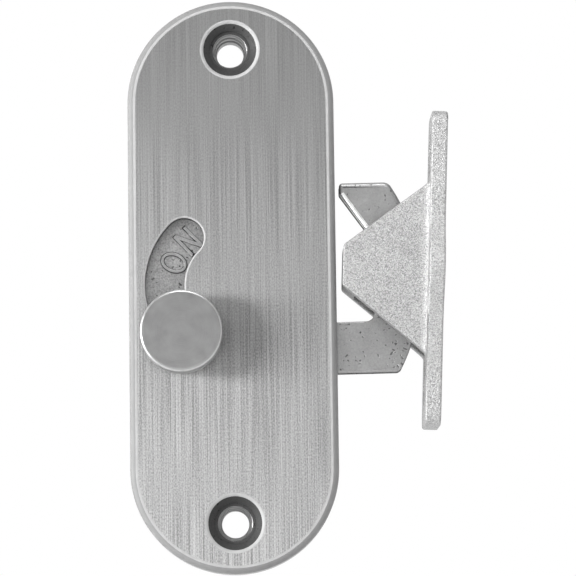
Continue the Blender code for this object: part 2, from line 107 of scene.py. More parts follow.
class CaseSizes(PropertyGroup):
    """Sizes of the case: its plates, housing, holes and slot."""

    rim_round: length("Rim round", 0.0014, "Radius of the face plate's front edge")
    edge_round: length("Edge round", 0.00025, "Radius of the small edges of plates and housing")
    holding: length("Holding ring", 0.00035, "Flat ring that keeps a flat face's shading level")
    side_wall: length("Side wall", 0.0025, "Thickness of the housing's wall")
    rib_height: length("Rib height", 0.0285, "Height of the rib's middle above the hook's axis")
    rib_thickness: length("Rib thickness", 0.0025, "Thickness of the rib across the housing")
    screw_height: length("Screw height", 0.05165, "Distance of each mounting screw from the axis")
    countersink_width: length("Countersink width", 0.0122, "Width of the cone for a screw head")
    countersink_depth: length("Countersink depth", 0.0016, "Depth of the cone for a screw head")
    countersink_roll: length("Countersink roll", 0.00044, "How far the cone's edge is rolled over")
    screw_hole_width: length("Screw hole width", 0.0059, "Width of the hole through the back plate")
    sleeve_width: length("Sleeve width", 0.0112, "Outer width of a screw sleeve")
    sleeve_bore: length("Sleeve bore", 0.0070, "Bore of a screw sleeve")
    sleeve_mouth: length("Sleeve mouth", 0.0077, "Width of a sleeve's bevelled mouth")
    sleeve_foot: length("Sleeve foot", 0.0014, "Height of the narrow foot inside a sleeve")
    slot_reach: length("Slot reach", 0.01465, "Radius of the slot's middle line")
    slot_width: length("Slot width", 0.0085, "Width of the slot")
    slot_top: angle("Slot top", 135.0, "Angle of the slot's upper end")
    slot_bottom: angle("Slot bottom", 225.0, "Angle of the slot's lower end")
    slot_edge_round: length("Slot edge round", 0.00035, "Radius of the slot's front edge")
    boss_width: length("Boss width", 0.0070, "Width of a screw boss in the housing")
    boss_reach: length("Boss reach", 0.0176, "Distance of a boss from the end's centre")
    boss_angle: angle("Boss angle", 35.0, "Angle of a boss above the end's centre")
    back_screw_width: length("Back screw width", 0.0025, "Width of a back screw's shank")
    back_screw_head: length("Back screw head", 0.0046, "Width of a back screw's head")
    back_screw_sink: length("Back screw sink", 0.0011, "Depth of a back screw's head")
    back_screw_gap: length("Back screw gap", 0.0003, "Clearance round a back screw")
    mouth_top: length("Mouth top", -0.0077, "Top of the opening that the hook comes out of")
    mouth_bottom: length("Mouth bottom", -0.0363, "Bottom of the opening for the hook")
    chamber_round: length("Chamber round", 0.001, "Radius of the chambers' corners at the rib")


class HookSizes(PropertyGroup):
    """Sizes of the hook and of the letters on its disc."""

    lift: angle("Lift", 0.8, "How far the arm points above level at rest")
    disc_radius: length("Disc radius", 0.0197, "Radius of the hook's disc")
    claw_outer: length("Claw outer radius", 0.0409, "Radius of the claw's outer edge")
    claw_inner: length("Claw inner radius", 0.0314, "Radius of the claw's inner edge")
    inner_top: angle("Inner edge top", 22.0, "Angle where the claw's inner edge turns straight")
    arm_top: length("Arm top", 0.0086, "Depth of the arm's top edge below the axis")
    tip_height: length("Tip height", 0.0219, "Height of the tip above the axis")
    nose_reach: length("Nose reach", 0.0237, "Distance of the nose from the axis")
    nose_height: length("Nose height", 0.0195, "Height of the nose's lower corner")
    nose_round: length("Nose round", 0.0009, "Radius of the nose's corners")
    tip_round: length("Tip round", 0.0020, "Radius of the tip's outer corner")
    arm_round: length("Arm round", 0.0014, "Radius of the arm's lower corner")
    arm_fillet: length("Arm fillet", 0.0018, "Fillet between the arm and the claw")
    disc_fillet: length("Disc fillet", 0.0010, "Fillet between the arm and the disc")
    plain_bevel: length("Plain bevel", 0.00030, "Rounding of the hook's plain edges")
    inner_bevel: length("Inner bevel", 0.00070, "Bevel of the claw's inner edge")
    tip_bevel: length("Tip bevel", 0.00100, "Bevel of the tip's top and outer edge")
    holding: length("Holding ring", 0.00030, "Flat ring that keeps a flat face's shading level")
    bore_width: length("Bore width", 0.0106, "Width of the hole for the bush")
    recess_width: length("Recess width", 0.0171, "Width of the recess for the front washer")
    recess_floor: length("Recess floor", 0.0069, "Height of the recess's floor")
    letter_height: length("Letter height", 0.0061, "Height of a letter on the disc")
    letter_width: length("Letter width", 0.0038, "Width of a letter on the disc")
    letter_stroke: length("Letter stroke", 0.00092, "Width of a letter's stroke")
    letter_rise: length("Letter rise", 0.00035, "How far a letter stands out of the disc")
    letter_reach: length("Letter reach", 0.0137, "Distance of a letter's middle from the axis")
    letter_pitch: angle("Letter pitch", 23.9, "Angle between one letter and the next")
    on_middle: angle("ON middle", 146.1, "Angle of the word ON at rest")
    off_middle: angle("OFF middle", 297.0, "Angle of the word OFF at rest")


class TurnedSizes(PropertyGroup):
    """Sizes of the knob, its screw, and the pieces on the pivot."""

    knob_width: length("Knob width", 0.0177, "Width of the knob")
    knob_thickness: length("Knob thickness", 0.0050, "Thickness of the knob's disc")
    knob_chamfer: length("Knob chamfer", 0.0006, "Chamfer of the knob's front edge")
    knob_reach: length("Knob reach", 0.0155, "Distance of the knob from the axis")
    knob_angle: angle("Knob angle", 224.8, "Angle of the knob at rest")
    neck_width: length("Neck width", 0.0060, "Width of the knob's neck")
    knob_screw: length("Knob screw width", 0.0030, "Width of the knob screw's shank")
    knob_screw_head: length("Knob screw head", 0.0055, "Width of the knob screw's head")
    knob_screw_sink: length("Knob screw sink", 0.0014, "Depth of the knob screw's head")
    screw_gap: length("Screw gap", 0.0003, "Clearance round and above the knob screw")
    front_inset: length("Front inset", 0.0004, "Flat ring that keeps the knob's front level")
    pin_width: length("Pin width", 0.0070, "Width of the pivot pin")
    pin_foot: length("Pin foot", 0.0078, "Width of the pin's foot")
    pin_foot_depth: length("Pin foot depth", 0.0006, "Thickness of the pin's foot")
    bush_bore: length("Bush bore", 0.0076, "Bore of the bush")
    bush_width: length("Bush width", 0.0100, "Width of the bush")
    front_washer: length("Front washer width", 0.0165, "Width of the flat washer")
    spring_washer: length("Spring washer width", 0.0160, "Width of the wave washer")
    spring_bore: length("Spring washer bore", 0.0084, "Bore of the wave washer")
    spring_strip: length("Spring washer strip", 0.0003, "Thickness of the wave washer")
    spring_waves: count("Spring washer waves", 3, "Number of waves round the washer")
    small_bevel: length("Small bevel", 0.00012, "Bevel of small turned edges")


class KeeperSizes(PropertyGroup):
    """Sizes of the keeper: its base plate and the loop that the claw closes behind."""

    face_at: length("Face at", 0.0424, "Distance of the base's face from the hook's axis")
    rise: length("Rise", 0.00305, "Height of the base's middle above the axis")
    lean: angle("Lean", 2.45, "How far the keeper leans against the case")
    base_length: length("Base length", 0.0690, "Length of the base plate")
    base_thickness: length("Base thickness", 0.0035, "Thickness of the base plate")
    end_width: length("End width", 0.0150, "Width of the base's straight ends")
    middle_width: length("Middle width", 0.0234, "Width of the base's swollen middle")
    bulge_length: length("Bulge length", 0.0240, "Length of the swelling")
    corner_round: length("Corner round", 0.0030, "Radius of the base's corners")
    base_edge: length("Base edge", 0.0005, "Rounding of the base's edges")
    loop_edge: length("Loop edge", 0.00045, "Rounding of the loop's edges")
    loop_reach: length("Loop reach", 0.01845, "How far the loop stands out of the base")
    tip_height: length("Loop tip height", 0.0088, "Height of the loop at the bar")
    root_height: length("Loop root height", 0.0376, "Height of the loop at the base")
    wall: length("Loop wall", 0.0030, "Thickness of the loop's two walls")
    bar: length("Bar", 0.0028, "Thickness of the bar")
    passage: length("Passage", 0.0063, "Room between the two walls")
    flare_height: length("Flare height", 0.0020, "How far up a wall its cast root reaches")
    flare_width: length("Flare width", 0.0007, "How far a wall's cast root spreads")
    hole_width: length("Hole width", 0.0062, "Width of a screw hole in the base")
    countersink: length("Countersink", 0.0108, "Width of a screw hole's cone")
    hole_spacing: length("Hole spacing", 0.0500, "Distance between the screw holes")


class LockFinishes(PropertyGroup):
    """Colours, roughness and streaks of the lock's metals, and the colours that paint highlights on edges
    and shade in recesses.
    """

    face_colour: colour("Face", (0.385, 0.385, 0.385), "Brushed face plate")
    face_rough: share("Face roughness", 0.37, "Roughness of the brushed face")
    face_contrast: share("Face contrast", 0.30, "How strong the streaks of the brushed face are")
    rim_colour: colour("Rim", (0.36, 0.36, 0.36), "Rounded rim of the face plate")
    # The line colour paints a highlight: a lighter band along the rim's front edge, the slot's edge and the
    # countersinks' rolled edges.
    rim_rough: share("Rim roughness", 0.80, "Roughness of the rim and of the light lines")
    line_colour: colour("Line", (0.54, 0.54, 0.54), "Light line at the rim and round the slot and holes")
    # The edge colour paints the highlight along the claw's inner edge, much lighter than the hook's own
    # colour.
    edge_colour: colour("Edge", (0.90, 0.90, 0.90), "Burnished inner edge of the hook's claw")
    edge_rough: share("Edge roughness", 0.34, "Roughness of the claw's edge and the knob's ring")
    # The ring colour paints a highlight band on the knob's front chamfer.
    ring_colour: colour("Ring", (0.50, 0.50, 0.50), "Chamfer round the knob's front")
    face_spread: share("Face spread", 0.75, "How much wider the face glows across its grain")
    case_colour: colour("Case", (0.45, 0.45, 0.45), "Housing and back plate")
    case_rough: share("Case roughness", 0.42, "Roughness of the housing and back plate")
    case_contrast: share("Case contrast", 0.06, "How strong the streaks of housing and back plate are")
    turned_colour: colour("Turned", (0.36, 0.36, 0.36), "Knob, sleeves, pins and screws")
    turned_rough: share("Turned roughness", 0.34, "Roughness of turned pieces")
    # The bore colour is painted shade: a near-black colour on the slot's walls, the countersinks' cones and
    # the sleeves, where shade falls.
    bore_colour: colour("Bore", (0.095, 0.095, 0.095), "Dark walls of slot, countersinks and sleeves")
    bore_rough: share("Bore roughness", 0.75, "Roughness of the dark walls and letter sides")
    hook_colour: colour("Hook", (0.35, 0.35, 0.35), "Ground casting of the hook")
    hook_rough: share("Hook roughness", 0.44, "Roughness of the hook and its letters")
    # The letter side colour is painted shade on the sides of the raised letters.
    letter_side_colour: colour("Letter side", (0.03, 0.03, 0.03), "Dark sides of the raised letters")
    letter_colour: colour("Letter", (0.35, 0.35, 0.35), "Tops of the raised letters")
    keeper_colour: colour("Keeper", (0.42, 0.42, 0.42), "Blasted casting of the keeper")
    # The base edge colour is painted light: a lighter copy of the keeper's colour on the base plate's edge,
    # for the brighter light that falls there.
    base_colour: colour("Base edge", (0.47, 0.47, 0.47), "Lighter edge of the keeper's base")
    keeper_rough: share("Keeper roughness", 0.64, "Roughness of the keeper")
    spring_colour: colour("Spring", (0.30, 0.30, 0.32), "Wave washer")
    spring_rough: share("Spring roughness", 0.30, "Roughness of the wave washer")
    spring_contrast: share("Spring contrast", 0.05, "How strong the wave washer's rolling marks are")
    bronze_colour: colour("Bronze", (0.55, 0.36, 0.16), "Bush")
    bronze_rough: share("Bronze roughness", 0.40, "Roughness of the bush")


class StageSettings(PropertyGroup):
    """Camera, floor and world, and how finely round edges are stepped."""

    end_steps: count("End steps", 72, "Steps in a half turn of the case's ends")
    turn_steps: count("Turn steps", 96, "Steps in a full turn of a small round piece")
    round_steps: count("Round steps", 6, "Steps in a rounded edge")
    floor_height: length("Floor height", -0.105, "Height of the floor")
    floor_size: length("Floor size", 3.0, "Half the floor's width")
    floor_colour: colour("Floor", (0.86, 0.86, 0.86), "Pale floor")
    floor_rough: share("Floor roughness", 0.7, "Roughness of the floor")
    fade_from: length("Fade from", 0.5, "Distance at which the floor starts to turn white")
    fade_to: length("Fade to", 1.6, "Distance at which the floor is white")
    front_light: share("Front light", 0.42, "Strength of the world in front of the lock")
    lens: FloatProperty(name="Lens", description="Focal length in millimetres", default=193.4)
    sensor: FloatProperty(name="Sensor", description="Sensor width in millimetres", default=36.0)
    roll: angle("Roll", 0.80, "How far the camera is turned about its own line of sight")
    eye: FloatVectorProperty(
        name="Eye", description="Where the camera stands", default=(0.0064, -0.675, -0.0815),
        size=3, subtype="TRANSLATION",
    )
    aim: FloatVectorProperty(
        name="Aim", description="What the middle of the picture shows",
        default=(0.0120, -0.010, -0.0010), size=3, subtype="TRANSLATION",
    )


# Outlines


def line_to(shape, vert, x, z):
    """Pull a straight edge out of a vertex and return its far end."""
    grown = bmesh.ops.extrude_vert_indiv(shape, verts=[vert])["verts"][0]
    grown.co = (x, vert.co.y, z)
    return grown


def arc_to(shape, vert, x, z, turn, steps):
    """Spin a vertex about a centre, anticlockwise where the turn is positive, and return its end."""
    swept = bmesh.ops.spin(
        shape, geom=[vert], cent=(x, vert.co.y, z), axis=(0, -1, 0), angle=radians(turn),
        steps=steps,
    )
    return next(item for item in swept["geom_last"] if isinstance(item, bmesh.types.BMVert))


def on_circle(x, z, radius, at):
    """A point on a circle at an angle in degrees."""
    return Vector((x + radius * cos(radians(at)), z + radius * sin(radians(at))))


def way_in_and_out(move):
    """The first and last point of a corner or an arc."""
    if isinstance(move, Corner):
        return Vector((move.x, move.z)), Vector((move.x, move.z))
    return (on_circle(move.x, move.z, move.radius, move.start),
            on_circle(move.x, move.z, move.radius, move.end))


def corner_pieces(before, here, after, radius):
    """Start, centre and turn of the arc that rounds a corner."""
    back = (before - here).normalized()
    ahead = (after - here).normalized()
    half = back.angle(ahead) / 2
    centre = here + (back + ahead).normalized() * radius / sin(half)
    start = here + back * radius / tan(half)
    end = here + ahead * radius / tan(half)
    first = start - centre
    last = end - centre
    turn = degrees(atan2(last.y, last.x) - atan2(first.y, first.x))
    return start, centre, (turn + 180) % 360 - 180


def draw_outline(shape, moves, height, corner_steps, arc_step):
    """Draw a closed outline of corners and arcs, and return its edges."""
    old = set(shape.edges)
    first = vert = None
    for index, move in enumerate(moves):
        before = way_in_and_out(moves[index - 1])[1]
        after = way_in_and_out(moves[(index + 1) % len(moves)])[0]
        start, _ = way_in_and_out(move)
        if isinstance(move, Arc):
            centre = Vector((move.x, move.z))
            turn = move.end - move.start
            steps = max(1, round(abs(radians(turn)) * move.radius / arc_step))
        elif move.radius > 0:
            start, centre, turn = corner_pieces(before, start, after, move.radius)
            steps = corner_steps
        else:
            turn = 0
        if vert is None:
            first = vert = shape.verts.new((start.x, -height, start.y))
        else:
            vert = line_to(shape, vert, start.x, start.y)
        if turn:
            vert = arc_to(shape, vert, centre.x, centre.y, turn, steps)
    shape.edges.new((vert, first))
    return [edge for edge in shape.edges if edge not in old]


def draw_stadium(shape, half_length, radius, height, steps):
    """Draw a slab's outline with half-round ends, and return its edges."""
    old = set(shape.edges)
    first = shape.verts.new((radius, -height, -half_length))
    vert = line_to(shape, first, radius, half_length)
    vert = arc_to(shape, vert, 0, half_length, 180, steps)
    vert = line_to(shape, vert, -radius, -half_length)
    vert = arc_to(shape, vert, 0, -half_length, 180, steps)
    bmesh.ops.weld_verts(shape, targetmap={vert: first})
    return [edge for edge in shape.edges if edge not in old]


def draw_slot(shape, reach, low, high, half_width, height, steps):
    """Draw a curved slot about the hook's axis, and return its edges."""
    old = set(shape.edges)
    low_end = on_circle(0, 0, reach, low)
    high_end = on_circle(0, 0, reach, high)
    start = on_circle(0, 0, reach + half_width, low)
    first = shape.verts.new((start.x, -height, start.y))
    vert = arc_to(shape, first, 0, 0, high - low, steps)
    vert = arc_to(shape, vert, high_end.x, high_end.y, 180, steps // 2)
    vert = arc_to(shape, vert, 0, 0, low - high, steps)
    vert = arc_to(shape, vert, low_end.x, low_end.y, 180, steps // 2)
    bmesh.ops.weld_verts(shape, targetmap={vert: first})
    return [edge for edge in shape.edges if edge not in old]


def draw_circle(shape, x, z, radius, height, steps):
    """Draw a circle that faces the front, and return its edges."""
    place = Matrix.Translation((x, -height, z)) @ Matrix.Rotation(pi / 2, 4, "X")
    made = bmesh.ops.create_circle(shape, cap_ends=False, radius=radius, segments=steps, matrix=place)
    return list({edge for vert in made["verts"] for edge in vert.link_edges})


# Walls that rise from an outline


def stadium_spine(half_length):
    """The nearest point of a slab's middle line to any point."""
    def nearest(point):
        return Vector((0, point.y, max(-half_length, min(half_length, point.z))))
    return nearest


def circle_spine(x, z):
    """A circle's centre, whatever the point."""
    def nearest(point):
        return Vector((x, point.y, z))
    return nearest


def slot_spine(reach, low, high):
    """The nearest point of a curved slot's middle line to any point."""
    def nearest(point):
        at = degrees(atan2(point.z, point.x)) % 360
        middle = on_circle(0, 0, reach, max(low, min(high, at)))
        return Vector((middle.x, point.y, middle.y))
    return nearest


def carry_on(shape, edges):
    """Extrude edges; returns the new vertices, the far edges and the new faces."""
    grown = bmesh.ops.extrude_edge_only(shape, edges=edges)["geom"]
    verts = [item for item in grown if isinstance(item, bmesh.types.BMVert)]
    faces = [item for item in grown if isinstance(item, bmesh.types.BMFace)]
    fresh = set(verts)
    far = [
        item for item in grown
        if isinstance(item, bmesh.types.BMEdge) and fresh.issuperset(item.verts)
    ]
    return verts, far, faces


def sweep(shape, edges, spine, profile):
    """Carry an outline through (distance from its spine, height) steps.

    Returns the edges of the last outline and one list of faces for each step.
    """
    walls = []
    for distance, height in profile:
        verts, edges, faces = carry_on(shape, edges)
        walls.append(faces)
        for vert in verts:
            middle = spine(vert.co)
            vert.co = middle + (vert.co - middle).normalized() * distance
            vert.co.y = -height
    return edges, walls


def ordered_ring(edges):
    """The vertices of a closed outline, anticlockwise as the front shows them."""
    left = set(edges)
    first = edges[0].verts[0]
    ring = [first]
    vert = first
    while left:
        edge = next((item for item in vert.link_edges if item in left), None)
        if edge is None:
            break
        left.discard(edge)
        vert = edge.other_vert(vert)
        if vert is not first:
            ring.append(vert)
    area = sum(
        here.co.x * ring[index - 1].co.z - ring[index - 1].co.x * here.co.z
        for index, here in enumerate(ring)
    )
    return ring[::-1] if area > 0 else ring


def inward_steps(ring):
    """For each point of an outline, the step that carries it one unit inside both of its edges."""
    steps = {}
    for index, vert in enumerate(ring):
        before = vert.co - ring[index - 1].co
        after = ring[(index + 1) % len(ring)].co - vert.co
        one = Vector((-before.z, 0, before.x)).normalized()
        other = Vector((-after.z, 0, after.x)).normalized()
        both = (one + other).normalized()
        steps[vert] = both / max(0.5, both.dot(one))
    return steps


def smooth_round(ring, widths, passes):
    """Blend the widths along a closed outline."""
    for _ in range(passes):
        widths = {
            vert: (widths[ring[index - 1]] + 2 * widths[vert] + widths[ring[(index + 1) % len(ring)]]) / 4
            for index, vert in enumerate(ring)
        }
    return widths


def raise_rounded(shape, edges, profile):
    """Carry an outline through steps, each a function from a width to (inset, height).

    profile holds pairs of a function and the widths that it reads, one for each point. Returns the
    edges of the last outline and one list of faces for each step.
    """
    walls = []
    ring = ordered_ring(edges)
    inward = inward_steps(ring)
    home = {vert: (vert.co.copy(), inward[vert], vert) for vert in ring}
    for place, widths in profile:
        verts, edges, faces = carry_on(shape, edges)
        walls.append(faces)
        fresh = {}
        for vert in verts:
            below = next(end for edge in vert.link_edges for end in edge.verts if end in home)
            fresh[vert] = home[below]
            start, step, first = home[below]
            inset, height = place(widths[first])
            vert.co = start + step * inset
            vert.co.y = -height
        home = fresh
    return edges, walls


def quarter(height, way, steps):
    """Steps round a rounded edge up to a flat face at a height, or down from it to the side.

    way is 1 up to the face from below it and -1 down from it, and the flat face looks the same way.
    """
    made = []
    for step in range(steps + 1):
        turn = radians(90 * step / steps)

        def place(width, turn=turn):
            return width * (1 - cos(turn)), height - way * width * (1 - sin(turn))

        made.append(place)
    return made


def fill(shape, edges):
    """Close a flat region between outlines."""
    made = bmesh.ops.triangle_fill(shape, use_beauty=True, use_dissolve=False, edges=edges)
    return [item for item in made["geom"] if isinstance(item, bmesh.types.BMFace)]


def rounding(distance, height, size, outward, rising, steps):
    """Profile steps round an edge at (distance, height).

    outward is 1 on an outer edge and -1 on a hole's; rising is 1 from a side up to a front face
    and -1 from a front face down to a side.
    """
    points = []
    for step in range(steps + 1):
        turn = radians(90 * step / steps)
        points.append((distance - outward * size * (1 - sin(turn)), height - size * (1 - cos(turn))))
    return points if rising < 0 else points[::-1]


# Pieces


# Points closer than this are one point
SAME_POINT = 1e-6

# An edge sharper than this many degrees stays crisp in the shading
SHARP_FROM = 35.0


def finish_piece(shape, name, finishes, body, nodes=()):
    """Turn a shape into a piece that rides on a body and stands for CAD nodes."""
    bmesh.ops.recalc_face_normals(shape, faces=shape.faces)
    mesh = bpy.data.meshes.new(name)
    shape.to_mesh(mesh)
    shape.free()
    mesh.shade_smooth()
    mesh.set_sharp_from_angle(angle=radians(SHARP_FROM))
    piece = bpy.data.objects.new(name, mesh)
    bpy.context.scene.collection.objects.link(piece)
    for finish in finishes:
        mesh.materials.append(finish)
    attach(piece, body)
    if nodes:
        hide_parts(*nodes)
    return piece


def new_shape():
    """An empty shape whose edges can note how wide a bevel they take."""
    shape = bmesh.new()
    shape.edges.layers.float.new("bevel_weight_edge")
    return shape


def weigh(shape, edges, width, widest):
    """Note how wide a bevel the given edges take."""
    layer = shape.edges.layers.float["bevel_weight_edge"]
    for edge in edges:
        edge[layer] = width / widest


def bevel_by_weight(piece, widest, steps):
    """Round the noted edges of a piece, each by its own width."""
    rounding_modifier = piece.modifiers.new("rounded_edges", "BEVEL")
    rounding_modifier.limit_method = "WEIGHT"
    rounding_modifier.width = widest
    rounding_modifier.segments = steps
    rounding_modifier.use_clamp_overlap = False
    rounding_modifier.harden_normals = True


def turned_shape(profile, x, z, steps):
    """Spin a (radius, height) profile about a line that stands out of the case's back."""
    shape = new_shape()
    radius, height = profile[0]
    first = vert = shape.verts.new((x + radius, -height, z))
    for radius, height in profile[1:]:
        vert = bmesh.ops.extrude_vert_indiv(shape, verts=[vert])["verts"][0]
        vert.co = (x + radius, -height, z)
    if profile[0][0] > 0:
        shape.edges.new((vert, first))
    bmesh.ops.spin(
        shape, geom=shape.verts[:] + shape.edges[:], cent=(x, 0, z), axis=(0, 1, 0),
        angle=2 * pi, steps=steps, use_merge=True,
    )
    bmesh.ops.remove_doubles(shape, verts=shape.verts, dist=SAME_POINT)
    return shape


def turned_piece(name, profile, place, finish, steps):
    """A turned piece at its place."""
    shape = turned_shape(profile, place.x, place.z, steps)
    return finish_piece(shape, name, [finish], place.body, [place.node])


def bevelled(points, size):
    """A turned profile whose sharp corners are cut by a small bevel, apart from those on its axis."""
    profile = []
    for index, (radius, height) in enumerate(points):
        here = Vector((radius, height))
        if radius == 0:
            profile.append((radius, height))
            continue
        before = Vector(points[index - 1])
        after = Vector(points[(index + 1) % len(points)])
        for other in (before, after):
            step = min(size, (other - here).length / 3)
            cut = here + (other - here).normalized() * step
            profile.append((cut.x, cut.y))
    return profile


# Materials

# The middle of a noise field, where nearly all of its values lie
NOISE_LOW = 0.3
NOISE_HIGH = 0.7

# A colour Mix node's sockets; its plain names stand for several kinds of value
MIX_FIRST = 6
MIX_SECOND = 7
MIX_RESULT = 2


def new_metal(name, tint, roughness):
    """A metal with its own shader, and the node tree to add to."""
    metal = bpy.data.materials.new(name)
    metal.use_nodes = True
    shader = metal.node_tree.nodes["Principled BSDF"]
    shader.inputs["Base Color"].default_value = (*tint, 1)
    shader.inputs["Metallic"].default_value = 1
    shader.inputs["Roughness"].default_value = roughness
    return metal, metal.node_tree, shader


def place_pattern(tree, scale, move=(0, 0, 0)):
    """Object coordinates, moved and scaled."""
    coordinates = tree.nodes.new("ShaderNodeTexCoord")
    mapping = tree.nodes.new("ShaderNodeMapping")
    mapping.inputs["Location"].default_value = move
    mapping.inputs["Scale"].default_value = scale
    tree.links.new(coordinates.outputs["Object"], mapping.inputs["Vector"])
    return mapping.outputs["Vector"]


def noise(tree, scale, detail, roughness, distortion=0, move=(0, 0, 0)):
    """Smooth noise on the piece, with so many grains to the metre in each direction."""
    made = tree.nodes.new("ShaderNodeTexNoise")
    made.inputs["Scale"].default_value = 1
    made.inputs["Detail"].default_value = detail
    made.inputs["Roughness"].default_value = roughness
    made.inputs["Distortion"].default_value = distortion
    tree.links.new(place_pattern(tree, scale, move), made.inputs["Vector"])
    return made.outputs["Fac"]


def even_noise(tree, grains, detail, roughness, distortion=0):
    """Noise whose grains are as long as they are wide."""
    return noise(tree, (grains, grains, grains), detail, roughness, distortion)


def ranged(tree, value, low, high, to_low, to_high):
    """Stretch a value from one range to another."""
    made = tree.nodes.new("ShaderNodeMapRange")
    made.inputs["From Min"].default_value = low
    made.inputs["From Max"].default_value = high
    made.inputs["To Min"].default_value = to_low
    made.inputs["To Max"].default_value = to_high
    tree.links.new(value, made.inputs["Value"])
    return made.outputs["Result"]


def noise_range(tree, field, to_low, to_high):
    """Stretch a noise field over a range."""
    return ranged(tree, field, NOISE_LOW, NOISE_HIGH, to_low, to_high)


def noise_about(tree, field, middle, swing):
    """Let a noise field swing about a value."""
    return noise_range(tree, field, middle - swing, middle + swing)


def reckon(tree, operation, first, second):
    """One operation on two values, each a number or a socket."""
    made = tree.nodes.new("ShaderNodeMath")
    made.operation = operation
    for socket, value in zip(made.inputs, (first, second)):
        if isinstance(value, (int, float)):
            socket.default_value = value
        else:
            tree.links.new(value, socket)
    return made.outputs["Value"]


def plus(tree, first, second):
    """The sum of two values."""
    return reckon(tree, "ADD", first, second)


def minus(tree, first, second):
    """The first value less the second."""
    return reckon(tree, "SUBTRACT", first, second)


def times(tree, first, second):
    """The product of two values."""
    return reckon(tree, "MULTIPLY", first, second)


def larger(tree, first, second):
    """The larger of two values."""
    return reckon(tree, "MAXIMUM", first, second)


def length_of(tree, vector):
    """How long a vector is."""
    made = tree.nodes.new("ShaderNodeVectorMath")
    made.operation = "LENGTH"
    tree.links.new(vector, made.inputs[0])
    return made.outputs["Value"]


def distance_from(tree, x, z):
    """Distance from a line at (x, z) that stands out of the case's back."""
    return length_of(tree, place_pattern(tree, (1, 0, 1), (-x, 0, -z)))


def split_up(tree, vector):
    """The X, Y and Z outputs of a vector."""
    made = tree.nodes.new("ShaderNodeSeparateXYZ")
    tree.links.new(vector, made.inputs["Vector"])
    return made.outputs


def tinted(tree, shader, tint, brightness):
    """Let a value brighten and darken the metal's own colour."""
    made = tree.nodes.new("ShaderNodeMix")
    made.data_type = "RGBA"
    made.blend_type = "MULTIPLY"
    made.inputs["Factor"].default_value = 1
    made.inputs[MIX_FIRST].default_value = (*tint, 1)
    tree.links.new(brightness, made.inputs[MIX_SECOND])
    tree.links.new(made.outputs[MIX_RESULT], shader.inputs["Base Color"])


def roughened(tree, shader, value):
    """Let a value set how rough the metal is."""
    tree.links.new(value, shader.inputs["Roughness"])


def bumped(tree, shader, height, depth):
    """Let a value between 0 and 1 raise the surface by up to a depth."""
    made = tree.nodes.new("ShaderNodeBump")
    made.inputs["Distance"].default_value = depth
    tree.links.new(height, made.inputs["Height"])
    tree.links.new(made.outputs["Normal"], shader.inputs["Normal"])


def painted_light_grade(tree):
    """Painted light: how strongly the brushing's streaks show at a height, faint at the top of the case and
    strongest below the middle, where the light brings them out.
    """
    strongest_at, faintest_at = -0.030, 0.045
    deep, light = 1.2, 0.45
    where = split_up(tree, place_pattern(tree, (1, 1, 1)))
    return ranged(tree, where["Z"], strongest_at, faintest_at, deep, light)


def brushed_metal(name, tint, roughness, contrast, spread):
    """Metal brushed along Z: two sets of thin lines over a close speckle, and a glow across them.

    The sets differ in pitch and place, so that they don't fade out at the same heights.
    """
    first_share, second_share, speckle_share = 0.33, 0.31, 0.36
    streak_low, streak_high = 0.36, 0.64
    broad_share = 1 / 8
    rough_swing = 0.02
    groove_depth = 0.00002
    metal, tree, shader = new_metal(name, tint, roughness)
    first = noise(tree, (6400, 6400, 26), 0, 0.5)
    second = noise(tree, (5700, 5700, 37), 0, 0.5, move=(0, 0, 0.75))
    speckle = noise(tree, (4300, 4300, 2400), 0, 0.5)
    broad = noise(tree, (110, 110, 40), 1.0, 0.5)
    other = plus(tree, times(tree, speckle, speckle_share), times(tree, second, second_share))
    streaks = plus(tree, times(tree, first, first_share), other)
    # On the face the streaks' contrast is graded by height, which is painted light; the streaks themselves
    # are the metal's grain.
    grade = painted_light_grade(tree) if spread else 1.0
    lines = ranged(tree, streaks, streak_low, streak_high, -contrast, contrast)
    patches = noise_about(tree, broad, 1, contrast * broad_share)
    tinted(tree, shader, tint, plus(tree, times(tree, lines, grade), patches))
    roughened(tree, shader, noise_about(tree, first, roughness, rough_swing))
    if spread:
        shader.inputs["Anisotropic"].default_value = spread
        across = tree.nodes.new("ShaderNodeTangent")
        across.direction_type = "RADIAL"
        across.axis = "Z"
        tree.links.new(across.outputs["Tangent"], shader.inputs["Tangent"])
    bumped(tree, shader, streaks, groove_depth)
    return metal


def turned_metal(name, tint, roughness, x, z):
    """Metal turned about a line at (x, z), with faint rings."""
    rings_per_metre = 5200
    ring_swing = 0.03
    mottle_swing = 0.06
    smoother, rougher = 0.03, 0.04
    ring_depth = 0.000004
    metal, tree, shader = new_metal(name, tint, roughness)
    made = tree.nodes.new("ShaderNodeTexNoise")
    made.noise_dimensions = "1D"
    made.inputs["Scale"].default_value = rings_per_metre
    made.inputs["Detail"].default_value = 3
    tree.links.new(distance_from(tree, x, z), made.inputs["W"])
    rings = made.outputs["Fac"]
    mottle = even_noise(tree, 420, 4.0, 0.6)
    ringed = noise_about(tree, rings, 1, ring_swing)
    tinted(tree, shader, tint, plus(tree, ringed, noise_about(tree, mottle, 0, mottle_swing)))
    roughened(tree, shader, noise_range(tree, mottle, roughness - smoother, roughness + rougher))
    bumped(tree, shader, rings, ring_depth)
    return metal


def pit_clusters(tree):
    """How much likelier pits are near two corners of the hook's arm."""
    full_within, none_beyond = 0.0008, 0.0040
    gathered = 0.0
    for x, z, most in ((0.0364, -0.0145, 0.11), (0.0255, -0.0180, 0.06)):
        near = ranged(tree, distance_from(tree, x, z), full_within, none_beyond, most, 0)
        gathered = larger(tree, gathered, near)
    return gathered


